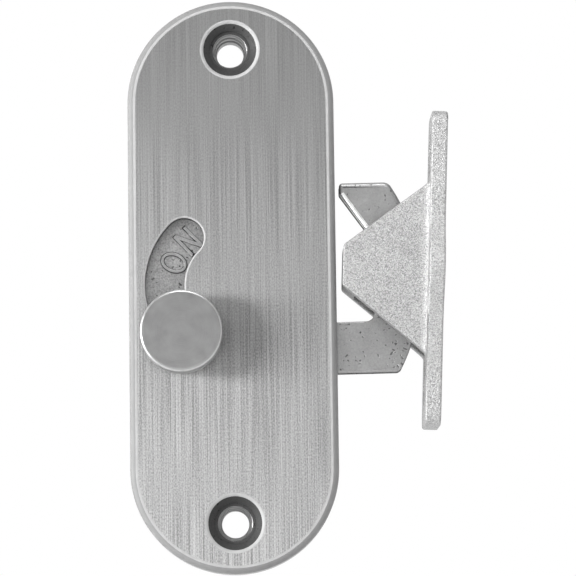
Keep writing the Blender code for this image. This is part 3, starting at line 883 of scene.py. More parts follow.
def cast_metal(name, tint, roughness, disc_radius):
    """A ground casting: a little cloudy, with small dark pits, and grainier within a disc."""
    pit_from, pit_full = 0.69, 0.75
    pit_darkness = 0.6
    cloud_swing = 0.05
    grain_swing = 0.16
    grain_outside, grain_on_disc = 0.6, 1.7
    disc_fade = 0.001
    smoother, rougher = 0.04, 0.05
    grain_relief = 0.3
    relief_depth = 0.00006
    metal, tree, shader = new_metal(name, tint, roughness)
    cloud = even_noise(tree, 260, 4.0, 0.6)
    grain = even_noise(tree, 2600, 2.0, 0.6)
    pits = even_noise(tree, 1500, 1.0, 0.4)
    on_disc = ranged(tree, distance_from(tree, 0, 0), disc_radius, disc_radius + disc_fade, 1, 0)
    depth = ranged(tree, plus(tree, pits, pit_clusters(tree)), pit_from, pit_full, 0, 1)
    graininess = ranged(tree, on_disc, 0, 1, grain_outside, grain_on_disc)
    speckle = times(tree, noise_about(tree, grain, 0, grain_swing), graininess)
    unpitted = plus(tree, noise_about(tree, cloud, 1, cloud_swing), speckle)
    tinted(tree, shader, tint, minus(tree, unpitted, times(tree, depth, pit_darkness)))
    roughened(tree, shader, noise_range(tree, cloud, roughness - smoother, roughness + rougher))
    bumped(tree, shader, minus(tree, times(tree, grain, grain_relief), depth), relief_depth)
    return metal


def letter_metal(name, tint, roughness):
    """A raised letter: ground on top, with painted shade where it rounds off to the side."""
    flat_until, side_from = -0.98, -0.85
    painted_shade_brightness = 0.12
    grain_swing = 0.15
    grain_depth = 0.00001
    metal, tree, shader = new_metal(name, tint, roughness)
    coordinates = tree.nodes.new("ShaderNodeTexCoord")
    facing = split_up(tree, coordinates.outputs["Normal"])["Y"]
    grain = even_noise(tree, 2600, 2.0, 0.6)
    top = ranged(tree, facing, flat_until, side_from, 1, painted_shade_brightness)
    tinted(tree, shader, tint, times(tree, top, noise_about(tree, grain, 1, grain_swing)))
    bumped(tree, shader, grain, grain_depth)
    return metal


def edge_band_metal(name, tint, roughness):
    """Metal for the face plate's rim and for narrow bands along edges, with a faint unevenness; on the
    light lines, the claw's edge and the knob's ring its colour is painted highlight, on the letters' sides
    painted shade.
    """
    darkest, brightest = 0.86, 1.1
    smoother, rougher = 0.05, 0.1
    bump_depth = 0.00001
    metal, tree, shader = new_metal(name, tint, roughness)
    uneven = even_noise(tree, 700, 3.0, 0.6)
    tinted(tree, shader, tint, noise_range(tree, uneven, darkest, brightest))
    roughened(tree, shader, noise_range(tree, uneven, roughness - smoother, roughness + rougher))
    bumped(tree, shader, uneven, bump_depth)
    return metal


def blasted_metal(name, tint, roughness):
    """A blasted casting: close grain with darker hollows."""
    grain_share, fine_share = 0.55, 0.45
    grain_low, grain_high = 0.34, 0.64
    hollow, crest = 0.66, 1.30
    swell_swing = 0.04
    rough_low, rough_high = 0.36, 0.62
    rough_swing = 0.08
    grain_depth = 0.00022
    metal, tree, shader = new_metal(name, tint, roughness)
    grain = even_noise(tree, 3400, 0.5, 0.5, 0.8)
    fine = even_noise(tree, 6000, 0.5, 0.5)
    swell = even_noise(tree, 300, 2.0, 0.5)
    close = plus(tree, times(tree, grain, grain_share), times(tree, fine, fine_share))
    grained = ranged(tree, close, grain_low, grain_high, hollow, crest)
    tinted(tree, shader, tint, plus(tree, grained, noise_about(tree, swell, 0, swell_swing)))
    rough = ranged(tree, close, rough_low, rough_high, roughness + rough_swing, roughness - rough_swing)
    roughened(tree, shader, rough)
    bumped(tree, shader, close, grain_depth)
    return metal


# How each finish is made: its maker, and the colour, the roughness and what else the maker takes.
# A word is the name of one of the lock's finish settings.
FINISHES = {
    "long_brushed_face": (brushed_metal, "face_colour", "face_rough", "face_contrast", "face_spread"),
    "brushed_case": (brushed_metal, "case_colour", "case_rough", "case_contrast", 0),
    "rolled_spring": (brushed_metal, "spring_colour", "spring_rough", "spring_contrast", 0),
    "sintered_bronze": (turned_metal, "bronze_colour", "bronze_rough"),
    "turned_steel": (turned_metal, "turned_colour", "turned_rough"),
    "rounded_rim": (edge_band_metal, "rim_colour", "rim_rough"),
    "light_line": (edge_band_metal, "line_colour", "rim_rough"),
    "burnished_edge": (edge_band_metal, "edge_colour", "edge_rough"),
    "bright_ring": (edge_band_metal, "ring_colour", "edge_rough"),
    "letter_side": (edge_band_metal, "letter_side_colour", "bore_rough"),
    "letter_top": (letter_metal, "letter_colour", "hook_rough"),
    "dark_bore": (cast_metal, "bore_colour", "bore_rough", 0),
    "ground_casting": (cast_metal, "hook_colour", "hook_rough"),
    "grit_blasted": (blasted_metal, "keeper_colour", "keeper_rough"),
    "grit_blasted_edge": (blasted_metal, "base_colour", "keeper_rough"),
}


def finish_of(scene, kind, *more, name=None):
    """The material of a finish, made the first time that it is asked for."""
    name = name or kind
    maker, *values = FINISHES[kind]
    settings = scene.lock_finishes
    values = [getattr(settings, value) if isinstance(value, str) else value for value in values]
    return bpy.data.materials.get(name) or maker(name, *values, *more)


def turned_finish(scene, x, z):
    """Turned steel whose rings are centred on (x, z)."""
    name = "turned_steel_%d_%d" % (round(x * 1e4), round(z * 1e4))
    return finish_of(scene, "turned_steel", x, z, name=name)


# Operators


def screw_places(sizes, end_centre):
    """Where the four back screws stand, from the upper right round."""
    places = []
    for side, end in ((1, 1), (-1, 1), (-1, -1), (1, -1)):
        x = side * sizes.boss_reach * cos(radians(sizes.boss_angle))
        z = end * (end_centre + sizes.boss_reach * sin(radians(sizes.boss_angle)))
        places.append((x, z))
    return places


def case_ends():
    """Radius of the case's half-round ends, and how far their centres are from the axis."""
    low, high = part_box("face_plate")
    radius = (high.x - low.x) / 2
    return radius, high.z - radius


class LOCK_OT_face_plate(Operator):
    """Model the brushed front plate with its slot and its two countersinks"""

    bl_idname = "lock.face_plate"
    bl_label = "Face Plate"

    def execute(self, context):
        scene = context.scene
        sizes = scene.lock_case
        steps = scene.lock_stage.end_steps
        turns = scene.lock_stage.turn_steps
        corner = scene.lock_stage.round_steps
        radius, end_centre = case_ends()
        back, front = heights("face_plate")
        shape = new_shape()
        rim = sizes.rim_round
        inner = radius - rim - sizes.holding
        outline = draw_stadium(shape, end_centre, inner, front, steps)
        cap = list(outline)
        rim_profile = rounding(radius, front, rim, 1, -1, 2 * corner)
        rim_profile += [(radius, back + sizes.edge_round / 2), (radius - sizes.edge_round / 2, back)]
        edges, walls = sweep(shape, outline, stadium_spine(end_centre), rim_profile)
        back_cap = list(edges)
        # The first two steps of the rim take the painted highlight line.
        highlight_steps = 2
        line = [face for wall in walls[:highlight_steps] for face in wall]
        rounded = [face for wall in walls[highlight_steps:] for face in wall]

        half = sizes.slot_width / 2
        soft = sizes.slot_edge_round
        low, high = sizes.slot_top, sizes.slot_bottom
        slot = draw_slot(
            shape, sizes.slot_reach, low, high, half + soft + sizes.holding / 2, front, turns,
        )
        cap += slot
        slot_profile = rounding(half, front, soft, -1, -1, corner) + [(half, back)]
        edges, walls = sweep(shape, slot, slot_spine(sizes.slot_reach, low, high), slot_profile)
        back_cap += edges
        # The slot's rounded edge takes the painted highlight line.
        line += [face for wall in walls[1:corner + 1] for face in wall]
        # The slot's wall below its rounded edge takes the painted shade.
        dark = [face for wall in walls[corner + 1:] for face in wall]

        wide = sizes.countersink_width / 2
        narrow = wide - sizes.countersink_depth
        roll = sizes.countersink_roll
        for side in (1, -1):
            z = side * sizes.screw_height
            hole = draw_circle(shape, 0, z, wide + roll + sizes.holding / 2, front, turns)
            cap += hole
            profile = cone_roll(wide, front, roll, corner)
            rolled = len(profile)
            profile += [(narrow, front - sizes.countersink_depth), (narrow, back)]
            edges, walls = sweep(shape, hole, circle_spine(0, z), profile)
            # The countersink's cone takes the painted shade.
            dark += [face for wall in walls[rolled:] for face in wall]
            # The countersink's rolled edge takes the painted highlight line.
            line += [face for wall in walls[1:rolled] for face in wall]
            back_cap += edges
        fill(shape, cap)
        for x, z in screw_places(sizes, end_centre):
            thread = sizes.back_screw_width / 2 + sizes.back_screw_gap
            floor = back + sizes.back_screw_sink - sizes.back_screw_gap / 3
            hole = draw_circle(shape, x, z, thread, back, turns // 3)
            back_cap += hole
            edges, _ = sweep(shape, hole, circle_spine(x, z), [(thread, floor)])
            fill(shape, edges)
        fill(shape, back_cap)
        for index, faces in ((1, dark), (2, line), (3, rounded)):
            for face in faces:
                face.material_index = index
        kinds = ("long_brushed_face", "dark_bore", "light_line", "rounded_rim")
        finishes = [finish_of(scene, kind) for kind in kinds]
        finish_piece(
            shape, "brushed_face_plate", finishes, "case", ["face_plate"],
        )
        return {"FINISHED"}


def cone_roll(wide, front, roll, steps):
    """Profile steps that roll a flat face over into a cone at 45 degrees."""
    slope = 45
    size = roll / tan(radians(slope / 2))
    points = []
    for step in range(steps + 1):
        turn = radians(slope * step / steps)
        points.append((wide + roll - size * sin(turn), front - size * (1 - cos(turn))))
    return points


class LOCK_OT_housing(Operator):
    """Model the frame between the plates, open on the right for the hook"""

    bl_idname = "lock.housing"
    bl_label = "Housing"

    def execute(self, context):
        scene = context.scene
        sizes = scene.lock_case
        steps = scene.lock_stage.end_steps
        radius, end_centre = case_ends()
        low, high = heights("housing")
        shape = new_shape()
        inner = radius - sizes.side_wall
        upper = upper_chamber(sizes, inner, end_centre)
        rest = lower_chamber(sizes, radius, inner, end_centre)
        corner_steps = 3
        arc_step = pi * radius / steps
        loops = [
            draw_outline(shape, upper, high, corner_steps, arc_step),
            draw_outline(shape, rest, high, corner_steps, arc_step),
        ]
        bore = sizes.back_screw_width / 2 + sizes.back_screw_gap
        for x, z in screw_places(sizes, end_centre):
            loops.append(draw_circle(shape, x, z, bore, high, steps // 3))
        front = [edge for loop in loops for edge in loop]
        fill(shape, front)
        verts, back, _ = carry_on(shape, front)
        bmesh.ops.translate(shape, vec=(0, high - low, 0), verts=verts)
        fill(shape, back)
        weigh(shape, front + back, 1, 1)
        piece = finish_piece(
            shape, "satin_housing", [finish_of(scene, "brushed_case")], "case",
            ["housing"],
        )
        bevel_by_weight(piece, sizes.edge_round / 2, 2)
        return {"FINISHED"}


def boss_bites(sizes, inner, end_centre, side, end):
    """The two angles about an end's centre where a boss meets the inner wall, and its centre."""
    reach = sizes.boss_reach
    round_boss = sizes.boss_width / 2
    at = sizes.boss_angle if side > 0 else 180 - sizes.boss_angle
    if end < 0:
        at = -at
    spread = degrees(acos_of((reach ** 2 + inner ** 2 - round_boss ** 2) / (2 * reach * inner)))
    centre = on_circle(0, end * end_centre, reach, at)
    return at - spread, at + spread, centre


def acos_of(value):
    """Angle in radians whose cosine is the value."""
    return atan2(sqrt(max(0.0, 1 - value * value)), value)


def boss_arc(sizes, inner, end_centre, side, end):
    """The arc of a boss that shows inside the housing, between its two meetings with the wall."""
    first, last, centre = boss_bites(sizes, inner, end_centre, side, end)
    start = on_circle(0, end * end_centre, inner, first) - centre
    stop = on_circle(0, end * end_centre, inner, last) - centre
    begin = degrees(atan2(start.y, start.x))
    turn = (degrees(atan2(stop.y, stop.x)) - begin) % 360 - 360
    return Arc(centre.x, centre.y, sizes.boss_width / 2, begin, begin + turn)


def upper_chamber(sizes, inner, end_centre):
    """Outline of the room above the rib, anticlockwise."""
    floor = sizes.rib_height + sizes.rib_thickness / 2
    right = boss_bites(sizes, inner, end_centre, 1, 1)
    left = boss_bites(sizes, inner, end_centre, -1, 1)
    return [
        Corner(inner, floor, sizes.chamber_round),
        Arc(0, end_centre, inner, 0, right[0]),
        boss_arc(sizes, inner, end_centre, 1, 1),
        Arc(0, end_centre, inner, right[1], left[0]),
        boss_arc(sizes, inner, end_centre, -1, 1),
        Arc(0, end_centre, inner, left[1], 180),
        Corner(-inner, floor, sizes.chamber_round),
    ]


def lower_chamber(sizes, radius, inner, end_centre):
    """Outline of the frame's outside, the mouth, and the room below the rib."""
    ceiling = sizes.rib_height - sizes.rib_thickness / 2
    left = boss_bites(sizes, inner, end_centre, -1, -1)
    right = boss_bites(sizes, inner, end_centre, 1, -1)
    return [
        Corner(radius, sizes.mouth_top, 0),
        Arc(0, end_centre, radius, 0, 180),
        Arc(0, -end_centre, radius, 180, 360),
        Corner(radius, sizes.mouth_bottom, 0),
        Corner(inner, sizes.mouth_bottom, 0),
        Arc(0, -end_centre, inner, 0, right[1]),
        reversed_arc(boss_arc(sizes, inner, end_centre, 1, -1)),
        Arc(0, -end_centre, inner, right[0], left[1]),
        reversed_arc(boss_arc(sizes, inner, end_centre, -1, -1)),
        Arc(0, -end_centre, inner, left[0], -180),
        Corner(-inner, ceiling, sizes.chamber_round),
        Corner(inner, ceiling, sizes.chamber_round),
        Corner(inner, sizes.mouth_top, 0),
    ]


def reversed_arc(arc):
    """The same arc, run the other way."""
    return Arc(arc.x, arc.z, arc.radius, arc.end, arc.start)


class LOCK_OT_back_plate(Operator):
    """Model the flat plate that lies on the door"""

    bl_idname = "lock.back_plate"
    bl_label = "Back Plate"

    def execute(self, context):
        scene = context.scene
        sizes = scene.lock_case
        steps = scene.lock_stage.end_steps
        turns = scene.lock_stage.turn_steps
        radius, end_centre = case_ends()
        back, front = heights("back_plate")
        soft = sizes.edge_round
        edge_steps = 3
        shape = new_shape()
        inner = radius - soft - sizes.holding
        outline = draw_stadium(shape, end_centre, inner, front, steps)
        cap = list(outline)
        profile = rounding(radius, front, soft, 1, -1, edge_steps)
        profile += [(out, back + front - height) for out, height in reversed(profile)]
        profile.append((inner, back))
        edges, _ = sweep(shape, outline, stadium_spine(end_centre), profile)
        back_cap = list(edges)
        bore = sizes.screw_hole_width / 2
        for side in (1, -1):
            z = side * sizes.screw_height
            hole = draw_circle(shape, 0, z, bore + soft / 2, front, turns)
            cap += hole
            hole_profile = [
                (bore, front - soft / 2), (bore, back + soft / 2), (bore + soft / 2, back),
            ]
            edges, _ = sweep(shape, hole, circle_spine(0, z), hole_profile)
            back_cap += edges
        shank = sizes.back_screw_width / 2 + sizes.back_screw_gap
        head = sizes.back_screw_head / 2 + sizes.back_screw_gap
        for x, z in screw_places(sizes, end_centre):
            hole = draw_circle(shape, x, z, shank, front, turns // 2)
            cap += hole
            seat = [(shank, sizes.back_screw_sink), (head, back)]
            edges, _ = sweep(shape, hole, circle_spine(x, z), seat)
            back_cap += edges
        fill(shape, cap)
        fill(shape, back_cap)
        finish_piece(
            shape, "satin_back_plate", [finish_of(scene, "brushed_case")], "case",
            ["back_plate"],
        )
        return {"FINISHED"}


class LOCK_OT_screws(Operator):
    """Model the four back screws and the two sleeves for the mounting screws"""

    bl_idname = "lock.screws"
    bl_label = "Screws and Sleeves"

    def execute(self, context):
        scene = context.scene
        sizes = scene.lock_case
        turns = scene.lock_stage.turn_steps
        _, end_centre = case_ends()
        for number, (x, z) in enumerate(screw_places(sizes, end_centre), 1):
            self.back_screw(scene, sizes, number, x, z)
        low, high = heights("upper_screw_sleeve")
        bore = sizes.sleeve_bore / 2
        mouth = sizes.sleeve_mouth / 2
        foot = sizes.screw_hole_width / 2
        step = low + sizes.sleeve_foot
        middle = (bore + foot) / 2
        ledge = (high + step) / 2
        profile = bevelled([
            (sizes.sleeve_width / 2, high), (sizes.sleeve_width / 2, low), (foot, low), (foot, step),
            (middle, step), (middle, ledge), (bore, ledge), (bore, high - (mouth - bore)),
            (mouth, high),
        ], scene.lock_turned.small_bevel)
        for end, z in (("upper", sizes.screw_height), ("lower", -sizes.screw_height)):
            shape = turned_shape(profile, 0, z, turns)
            # The sleeve's front part beyond its mouth, seen down the countersink, takes the painted shade.
            for face in shape.faces:
                at = face.calc_center_median()
                far = Vector((at.x, at.z - z)).length
                if far > mouth and -at.y > (high + low) / 2:
                    face.material_index = 1
            finishes = [turned_finish(scene, 0, z), finish_of(scene, "dark_bore")]
            node = end + "_screw_sleeve"
            finish_piece(shape, end + "_sleeve", finishes, "case", [node])
        return {"FINISHED"}

    def back_screw(self, scene, sizes, number, x, z):
        """One countersunk screw with a cross recess, head towards the door."""
        node = "back_screw_%d" % number
        back, tip = heights(node)
        shank = sizes.back_screw_width / 2
        head = sizes.back_screw_head / 2
        sink = sizes.back_screw_sink
        soft = scene.lock_turned.small_bevel
        profile = [
            (0, tip), (shank - 2 * soft, tip), (shank, tip - 2 * soft), (shank, sink),
            (head, back + 2 * soft), (head, back + soft), (head - soft, back), (0, back),
        ]
        shape = turned_shape(profile, x, z, scene.lock_stage.turn_steps // 2)
        half_width, depth = head * 0.22, sink * 0.7
        cross = cross_recess(x, z, back, head * CROSS_REACH, half_width, depth)
        screw = finish_piece(
            shape, "cross_screw_%d" % number, [turned_finish(scene, x, z)], "case",
            [node],
        )
        cut_with(screw, cross)


# A driver's recess against the screw head's radius, and how far it narrows towards its bottom
CROSS_REACH = 0.62
CROSS_TAPER = 0.45


def cross_recess(x, z, height, reach, half_width, depth):
    """A tapering cross-shaped plug that cuts a driver's recess into a screw head."""
    shape = new_shape()
    for turn in (0, pi / 2):
        made = bmesh.ops.create_cube(shape, size=1)["verts"]
        bmesh.ops.scale(shape, vec=(2 * reach, 2 * depth, 2 * half_width), verts=made)
        deep = [vert for vert in made if vert.co.y < 0]
        bmesh.ops.scale(shape, vec=(CROSS_TAPER, 1, CROSS_TAPER), verts=deep)
        bmesh.ops.rotate(shape, verts=made, matrix=Matrix.Rotation(turn + pi / 4, 3, "Y"))
        bmesh.ops.translate(shape, vec=(x, -height, z), verts=made)
    mesh = bpy.data.meshes.new("cross_recess")
    shape.to_mesh(mesh)
    shape.free()
    plug = bpy.data.objects.new("cross_recess", mesh)
    bpy.context.scene.collection.objects.link(plug)
    return plug


def cut_with(piece, plug):
    """Cut a plug out of a piece for good, and remove the plug."""
    cut = piece.modifiers.new("cut", "BOOLEAN")
    cut.operation = "DIFFERENCE"
    cut.solver = "EXACT"
    cut.use_self = True
    cut.object = plug
    bpy.context.view_layer.update()
    graph = bpy.context.evaluated_depsgraph_get()
    mesh = bpy.data.meshes.new_from_object(piece.evaluated_get(graph))
    piece.modifiers.clear()
    old = piece.data
    piece.data = mesh
    bpy.data.meshes.remove(old)
    mesh.set_sharp_from_angle(angle=radians(SHARP_FROM))
    bpy.data.objects.remove(plug, do_unlink=True)


class LOCK_OT_hook(Operator):
    """Model the hook, one casting with a disc, an arm and a claw, and its raised letters"""

    bl_idname = "lock.hook"
    bl_label = "Hook"

    def execute(self, context):
        scene = context.scene
        sizes = scene.lock_hook
        turns = scene.lock_stage.turn_steps
        corner_steps, arc_step = 8, 0.0005
        plain_steps, wide_steps = 3, 5
        blendings = 6
        back, front = heights("hook")
        shape = new_shape()
        outline = draw_outline(shape, hook_moves(sizes), back, corner_steps, arc_step)
        ring = ordered_ring(outline)
        plain = {vert: sizes.plain_bevel for vert in ring}
        wide = {vert: edge_bevel(sizes, vert.co) for vert in ring}
        wide = smooth_round(ring, wide, blendings)
        inset = sizes.plain_bevel + sizes.holding
        profile = [(place, plain) for place in quarter(back, -1, plain_steps)]
        profile += [(place, wide) for place in quarter(front, 1, wide_steps)]
        profile.append((lambda width: (width + sizes.holding, front), wide))
        step_in = inward_steps(ring)
        front_edges, walls = raise_rounded(shape, outline, profile)
        # The front bevel along the claw's inner edge takes the painted highlight.
        for wall in walls[plain_steps + 1:]:
            for face in wall:
                face.material_index = rim_kind(sizes, face.calc_center_median())
        # The outline itself comes in, and closes the back inside its rounded edge
        for vert in ring:
            vert.co += step_in[vert] * inset
        bore = sizes.bore_width / 2
        rim = sizes.recess_width / 2
        soft = sizes.plain_bevel / 2
        recess = draw_circle(shape, 0, 0, rim + soft, front, turns)
        hole_profile = [
            (rim, front - soft), (rim, sizes.recess_floor), (bore + soft, sizes.recess_floor),
            (bore, sizes.recess_floor - soft), (bore, back),
        ]
        end, _ = sweep(shape, recess, circle_spine(0, 0), hole_profile)
        fill(shape, front_edges + recess)
        fill(shape, outline + end)
        lift_up = Matrix.Rotation(-radians(sizes.lift), 3, "Y")
        bmesh.ops.rotate(shape, verts=shape.verts, matrix=lift_up)
        finishes = [
            finish_of(scene, "ground_casting", sizes.disc_radius), finish_of(scene, "burnished_edge"),
        ]
        finish_piece(shape, "ground_hook", finishes, "hook", ["hook"])
        self.letters(scene, sizes, front)
        return {"FINISHED"}

    def letters(self, scene, sizes, floor):
        """The words ON and OFF, raised on the disc, with the tops of their letters outwards."""
        shape = new_shape()
        for word, middle in (("ON", sizes.on_middle), ("OFF", sizes.off_middle)):
            for index, letter in enumerate(word):
                at = middle + ((len(word) - 1) / 2 - index) * sizes.letter_pitch
                add_letter(shape, sizes, letter, at, floor, scene.lock_stage.turn_steps // 2)
        # The letters' sides take painted shade.
        finishes = [finish_of(scene, "letter_side"), finish_of(scene, "letter_top")]
        piece = finish_piece(shape, "raised_letters", finishes, "hook")
        bevel_by_weight(piece, sizes.letter_stroke * LETTER_BEVEL, 2)


# How far before a rounded corner an arc ends, in the corner's radii
ROOM = 1.5

# How high above the arm the claw's inner edge starts to be bevelled, in fillet radii
BEVEL_FROM = 1.2


def corner_angle(x, z, radius, way, room):
    """Angle of a corner as seen from the axis, moved on or back to leave room for its rounding."""
    return degrees(atan2(z, x) + way * ROOM * room / radius)


def hook_moves(sizes):
    """The hook's outline, anticlockwise from the arm's lower outer corner, with its arm level."""
    outer = sizes.claw_outer
    inner = sizes.claw_inner
    disc = sizes.disc_radius
    arm_end = sqrt(outer ** 2 - disc ** 2)
    tip_end = sqrt(outer ** 2 - sizes.tip_height ** 2)
    arm_at = corner_angle(arm_end, -disc, outer, 1, sizes.arm_round)
    tip_at = corner_angle(tip_end, sizes.tip_height, outer, -1, sizes.tip_round)
    fillet_x = sqrt(inner ** 2 - sizes.arm_top ** 2)
    fillet_at = corner_angle(fillet_x, -sizes.arm_top, inner, 1, sizes.arm_fillet)
    disc_x = sqrt(disc ** 2 - sizes.arm_top ** 2)
    disc_at = corner_angle(disc_x, -sizes.arm_top, disc, 1, sizes.disc_fillet)
    return [
        Corner(arm_end, -disc, sizes.arm_round),
        Arc(0, 0, outer, arm_at, tip_at),
        Corner(tip_end, sizes.tip_height, sizes.tip_round),
        Corner(sizes.nose_reach, sizes.tip_height, sizes.nose_round),
        Corner(sizes.nose_reach, sizes.nose_height, sizes.nose_round),
        Arc(0, 0, inner, sizes.inner_top, fillet_at),
        Corner(fillet_x, -sizes.arm_top, sizes.arm_fillet),
        Corner(disc_x, -sizes.arm_top, sizes.disc_fillet),
        Arc(0, 0, disc, disc_at, 270),
    ]


def edge_bevel(sizes, point):
    """How wide the front bevel is at one point of the hook's outline."""
    far = Vector((point.x, point.z)).length
    if point.x < sizes.nose_reach:
        return sizes.plain_bevel
    if point.z > sizes.tip_height - 2 * sizes.nose_round:
        near_nose = point.x < sizes.nose_reach + 2 * sizes.nose_round
        return sizes.inner_bevel if near_nose else sizes.tip_bevel
    middle = (sizes.claw_inner + sizes.claw_outer) / 2
    if far < middle and point.z > -sizes.arm_top + BEVEL_FROM * sizes.arm_fillet:
        return sizes.inner_bevel
    if far > middle and point.z > sizes.tip_height - 4 * sizes.tip_round:
        return sizes.tip_bevel
    return sizes.plain_bevel


def rim_kind(sizes, point):
    """Which finish the front rim takes at a point: 0 as cast, 1 the painted highlight on the claw's inner
    edge.
    """
    far = Vector((point.x, point.z)).length
    middle = (sizes.claw_inner + sizes.claw_outer) / 2
    if point.x < sizes.nose_reach or point.z < -sizes.arm_top + BEVEL_FROM * sizes.arm_fillet:
        return 0
    if far < middle and point.z < sizes.nose_height:
        return 1
    return 0


# A letter's bevel and the slope of its N in strokes, how far its root goes down in rises, and
# half the width of its O against a letter's width
LETTER_BEVEL = 0.30
LETTER_SLANT = 2.3
LETTER_ROOT = 1.4
LETTER_ROUND = 0.6


def letter_corners(sizes, letter):
    """Outline of a straight letter about its own middle."""
    wide = sizes.letter_width / 2
    tall = sizes.letter_height / 2
    stroke = sizes.letter_stroke
    slant = LETTER_SLANT * stroke
    if letter == "N":
        return [
            (-wide, -tall), (-wide + stroke, -tall), (-wide + stroke, tall - slant),
            (wide - stroke, -tall), (wide, -tall), (wide, tall), (wide - stroke, tall),
            (wide - stroke, -tall + slant), (-wide + stroke, tall), (-wide, tall),
        ]
    short = wide / 2
    return [
        (-wide, -tall), (-wide + stroke, -tall), (-wide + stroke, -stroke / 2), (short, -stroke / 2),
        (short, stroke / 2), (-wide + stroke, stroke / 2), (-wide + stroke, tall - stroke),
        (wide, tall - stroke), (wide, tall), (-wide, tall),
    ]


def add_letter(shape, sizes, letter, at, floor, steps):
    """Add one raised letter at an angle on the disc."""
    top = floor + sizes.letter_rise
    if letter == "O":
        rings = []
        for shrink in (0, sizes.letter_stroke):
            ring = draw_circle(shape, 0, 0, 1, top, steps)
            verts = list({vert for edge in ring for vert in edge.verts})
            size = (sizes.letter_width * LETTER_ROUND - shrink, 1, sizes.letter_height / 2 - shrink)
            bmesh.ops.scale(shape, vec=size, verts=verts)
            rings += ring
    else:
        corners = [Corner(x, z, 0) for x, z in letter_corners(sizes, letter)]
        rings = draw_outline(shape, corners, top, 1, 1)
    weigh(shape, rings, 1, 1)
    faces = fill(shape, rings)
    for face in faces:
        face.material_index = 1
    low, foot, _ = carry_on(shape, rings)
    bmesh.ops.translate(shape, vec=(0, LETTER_ROOT * sizes.letter_rise, 0), verts=low)
    fill(shape, foot)
    verts = list({*low, *(vert for face in faces for vert in face.verts)})
    turn = Matrix.Rotation(-radians(at - 90), 3, "Y")
    bmesh.ops.rotate(shape, verts=verts, matrix=turn)
    centre = on_circle(0, 0, sizes.letter_reach, at)
    bmesh.ops.translate(shape, vec=(centre.x, 0, centre.y), verts=verts)


class LOCK_OT_pivot(Operator):
    """Model the pin, the bush and the two washers that the hook turns on"""

    bl_idname = "lock.pivot"
    bl_label = "Pivot"

    def execute(self, context):
        scene = context.scene
        sizes = scene.lock_turned
        turns = scene.lock_stage.turn_steps
        steel = turned_finish(scene, 0, 0)
        bronze = finish_of(scene, "sintered_bronze", 0, 0)
        low, high = heights("pivot_pin")
        pin = sizes.pin_width / 2
        foot = sizes.pin_foot / 2
        step = low + sizes.pin_foot_depth
        soft = sizes.small_bevel
        profile = bevelled([(0, high), (pin, high), (pin, step), (foot, step), (foot, low), (0, low)], soft)
        place = Place(0, 0, "case", "turned_steel", "pivot_pin")
        turned_piece("turned_pin", profile, place, steel, turns)
        bore = sizes.bush_bore / 2
        for name, node, slot, width, finish in (
            ("bronze_bush", "pivot_bush", "bearing_bronze", sizes.bush_width, bronze),
            ("flat_washer", "front_washer", "turned_steel", sizes.front_washer, steel),
        ):
            low, high = heights(node)
            ring = bevelled([(width / 2, high), (width / 2, low), (bore, low), (bore, high)], soft)
            turned_piece(name, ring, Place(0, 0, "hook", slot, node), finish, turns)
        self.wave_washer(scene, sizes)
        return {"FINISHED"}

    def wave_washer(self, scene, sizes):
        """The wave washer behind the hook, a flat ring bent into waves."""
        low, high = heights("spring_washer")
        outer = sizes.spring_washer / 2
        middle = (low + high) / 2
        wave = (high - low - sizes.spring_strip) / 2
        shape = new_shape()
        turns = scene.lock_stage.turn_steps
        rim = draw_circle(shape, 0, 0, outer, middle, turns + turns // 2)
        bore = sizes.spring_bore / 2
        sweep(shape, rim, circle_spine(0, 0), [((outer + bore) / 2, middle), (bore, middle)])
        for vert in shape.verts:
            vert.co.y -= wave * cos(sizes.spring_waves * atan2(vert.co.z, vert.co.x))
        steel = finish_of(scene, "rolled_spring")
        piece = finish_piece(shape, "wave_washer", [steel], "case", ["spring_washer"])
        wall = piece.modifiers.new("wall", "SOLIDIFY")
        wall.thickness = sizes.spring_strip
        wall.offset = 0


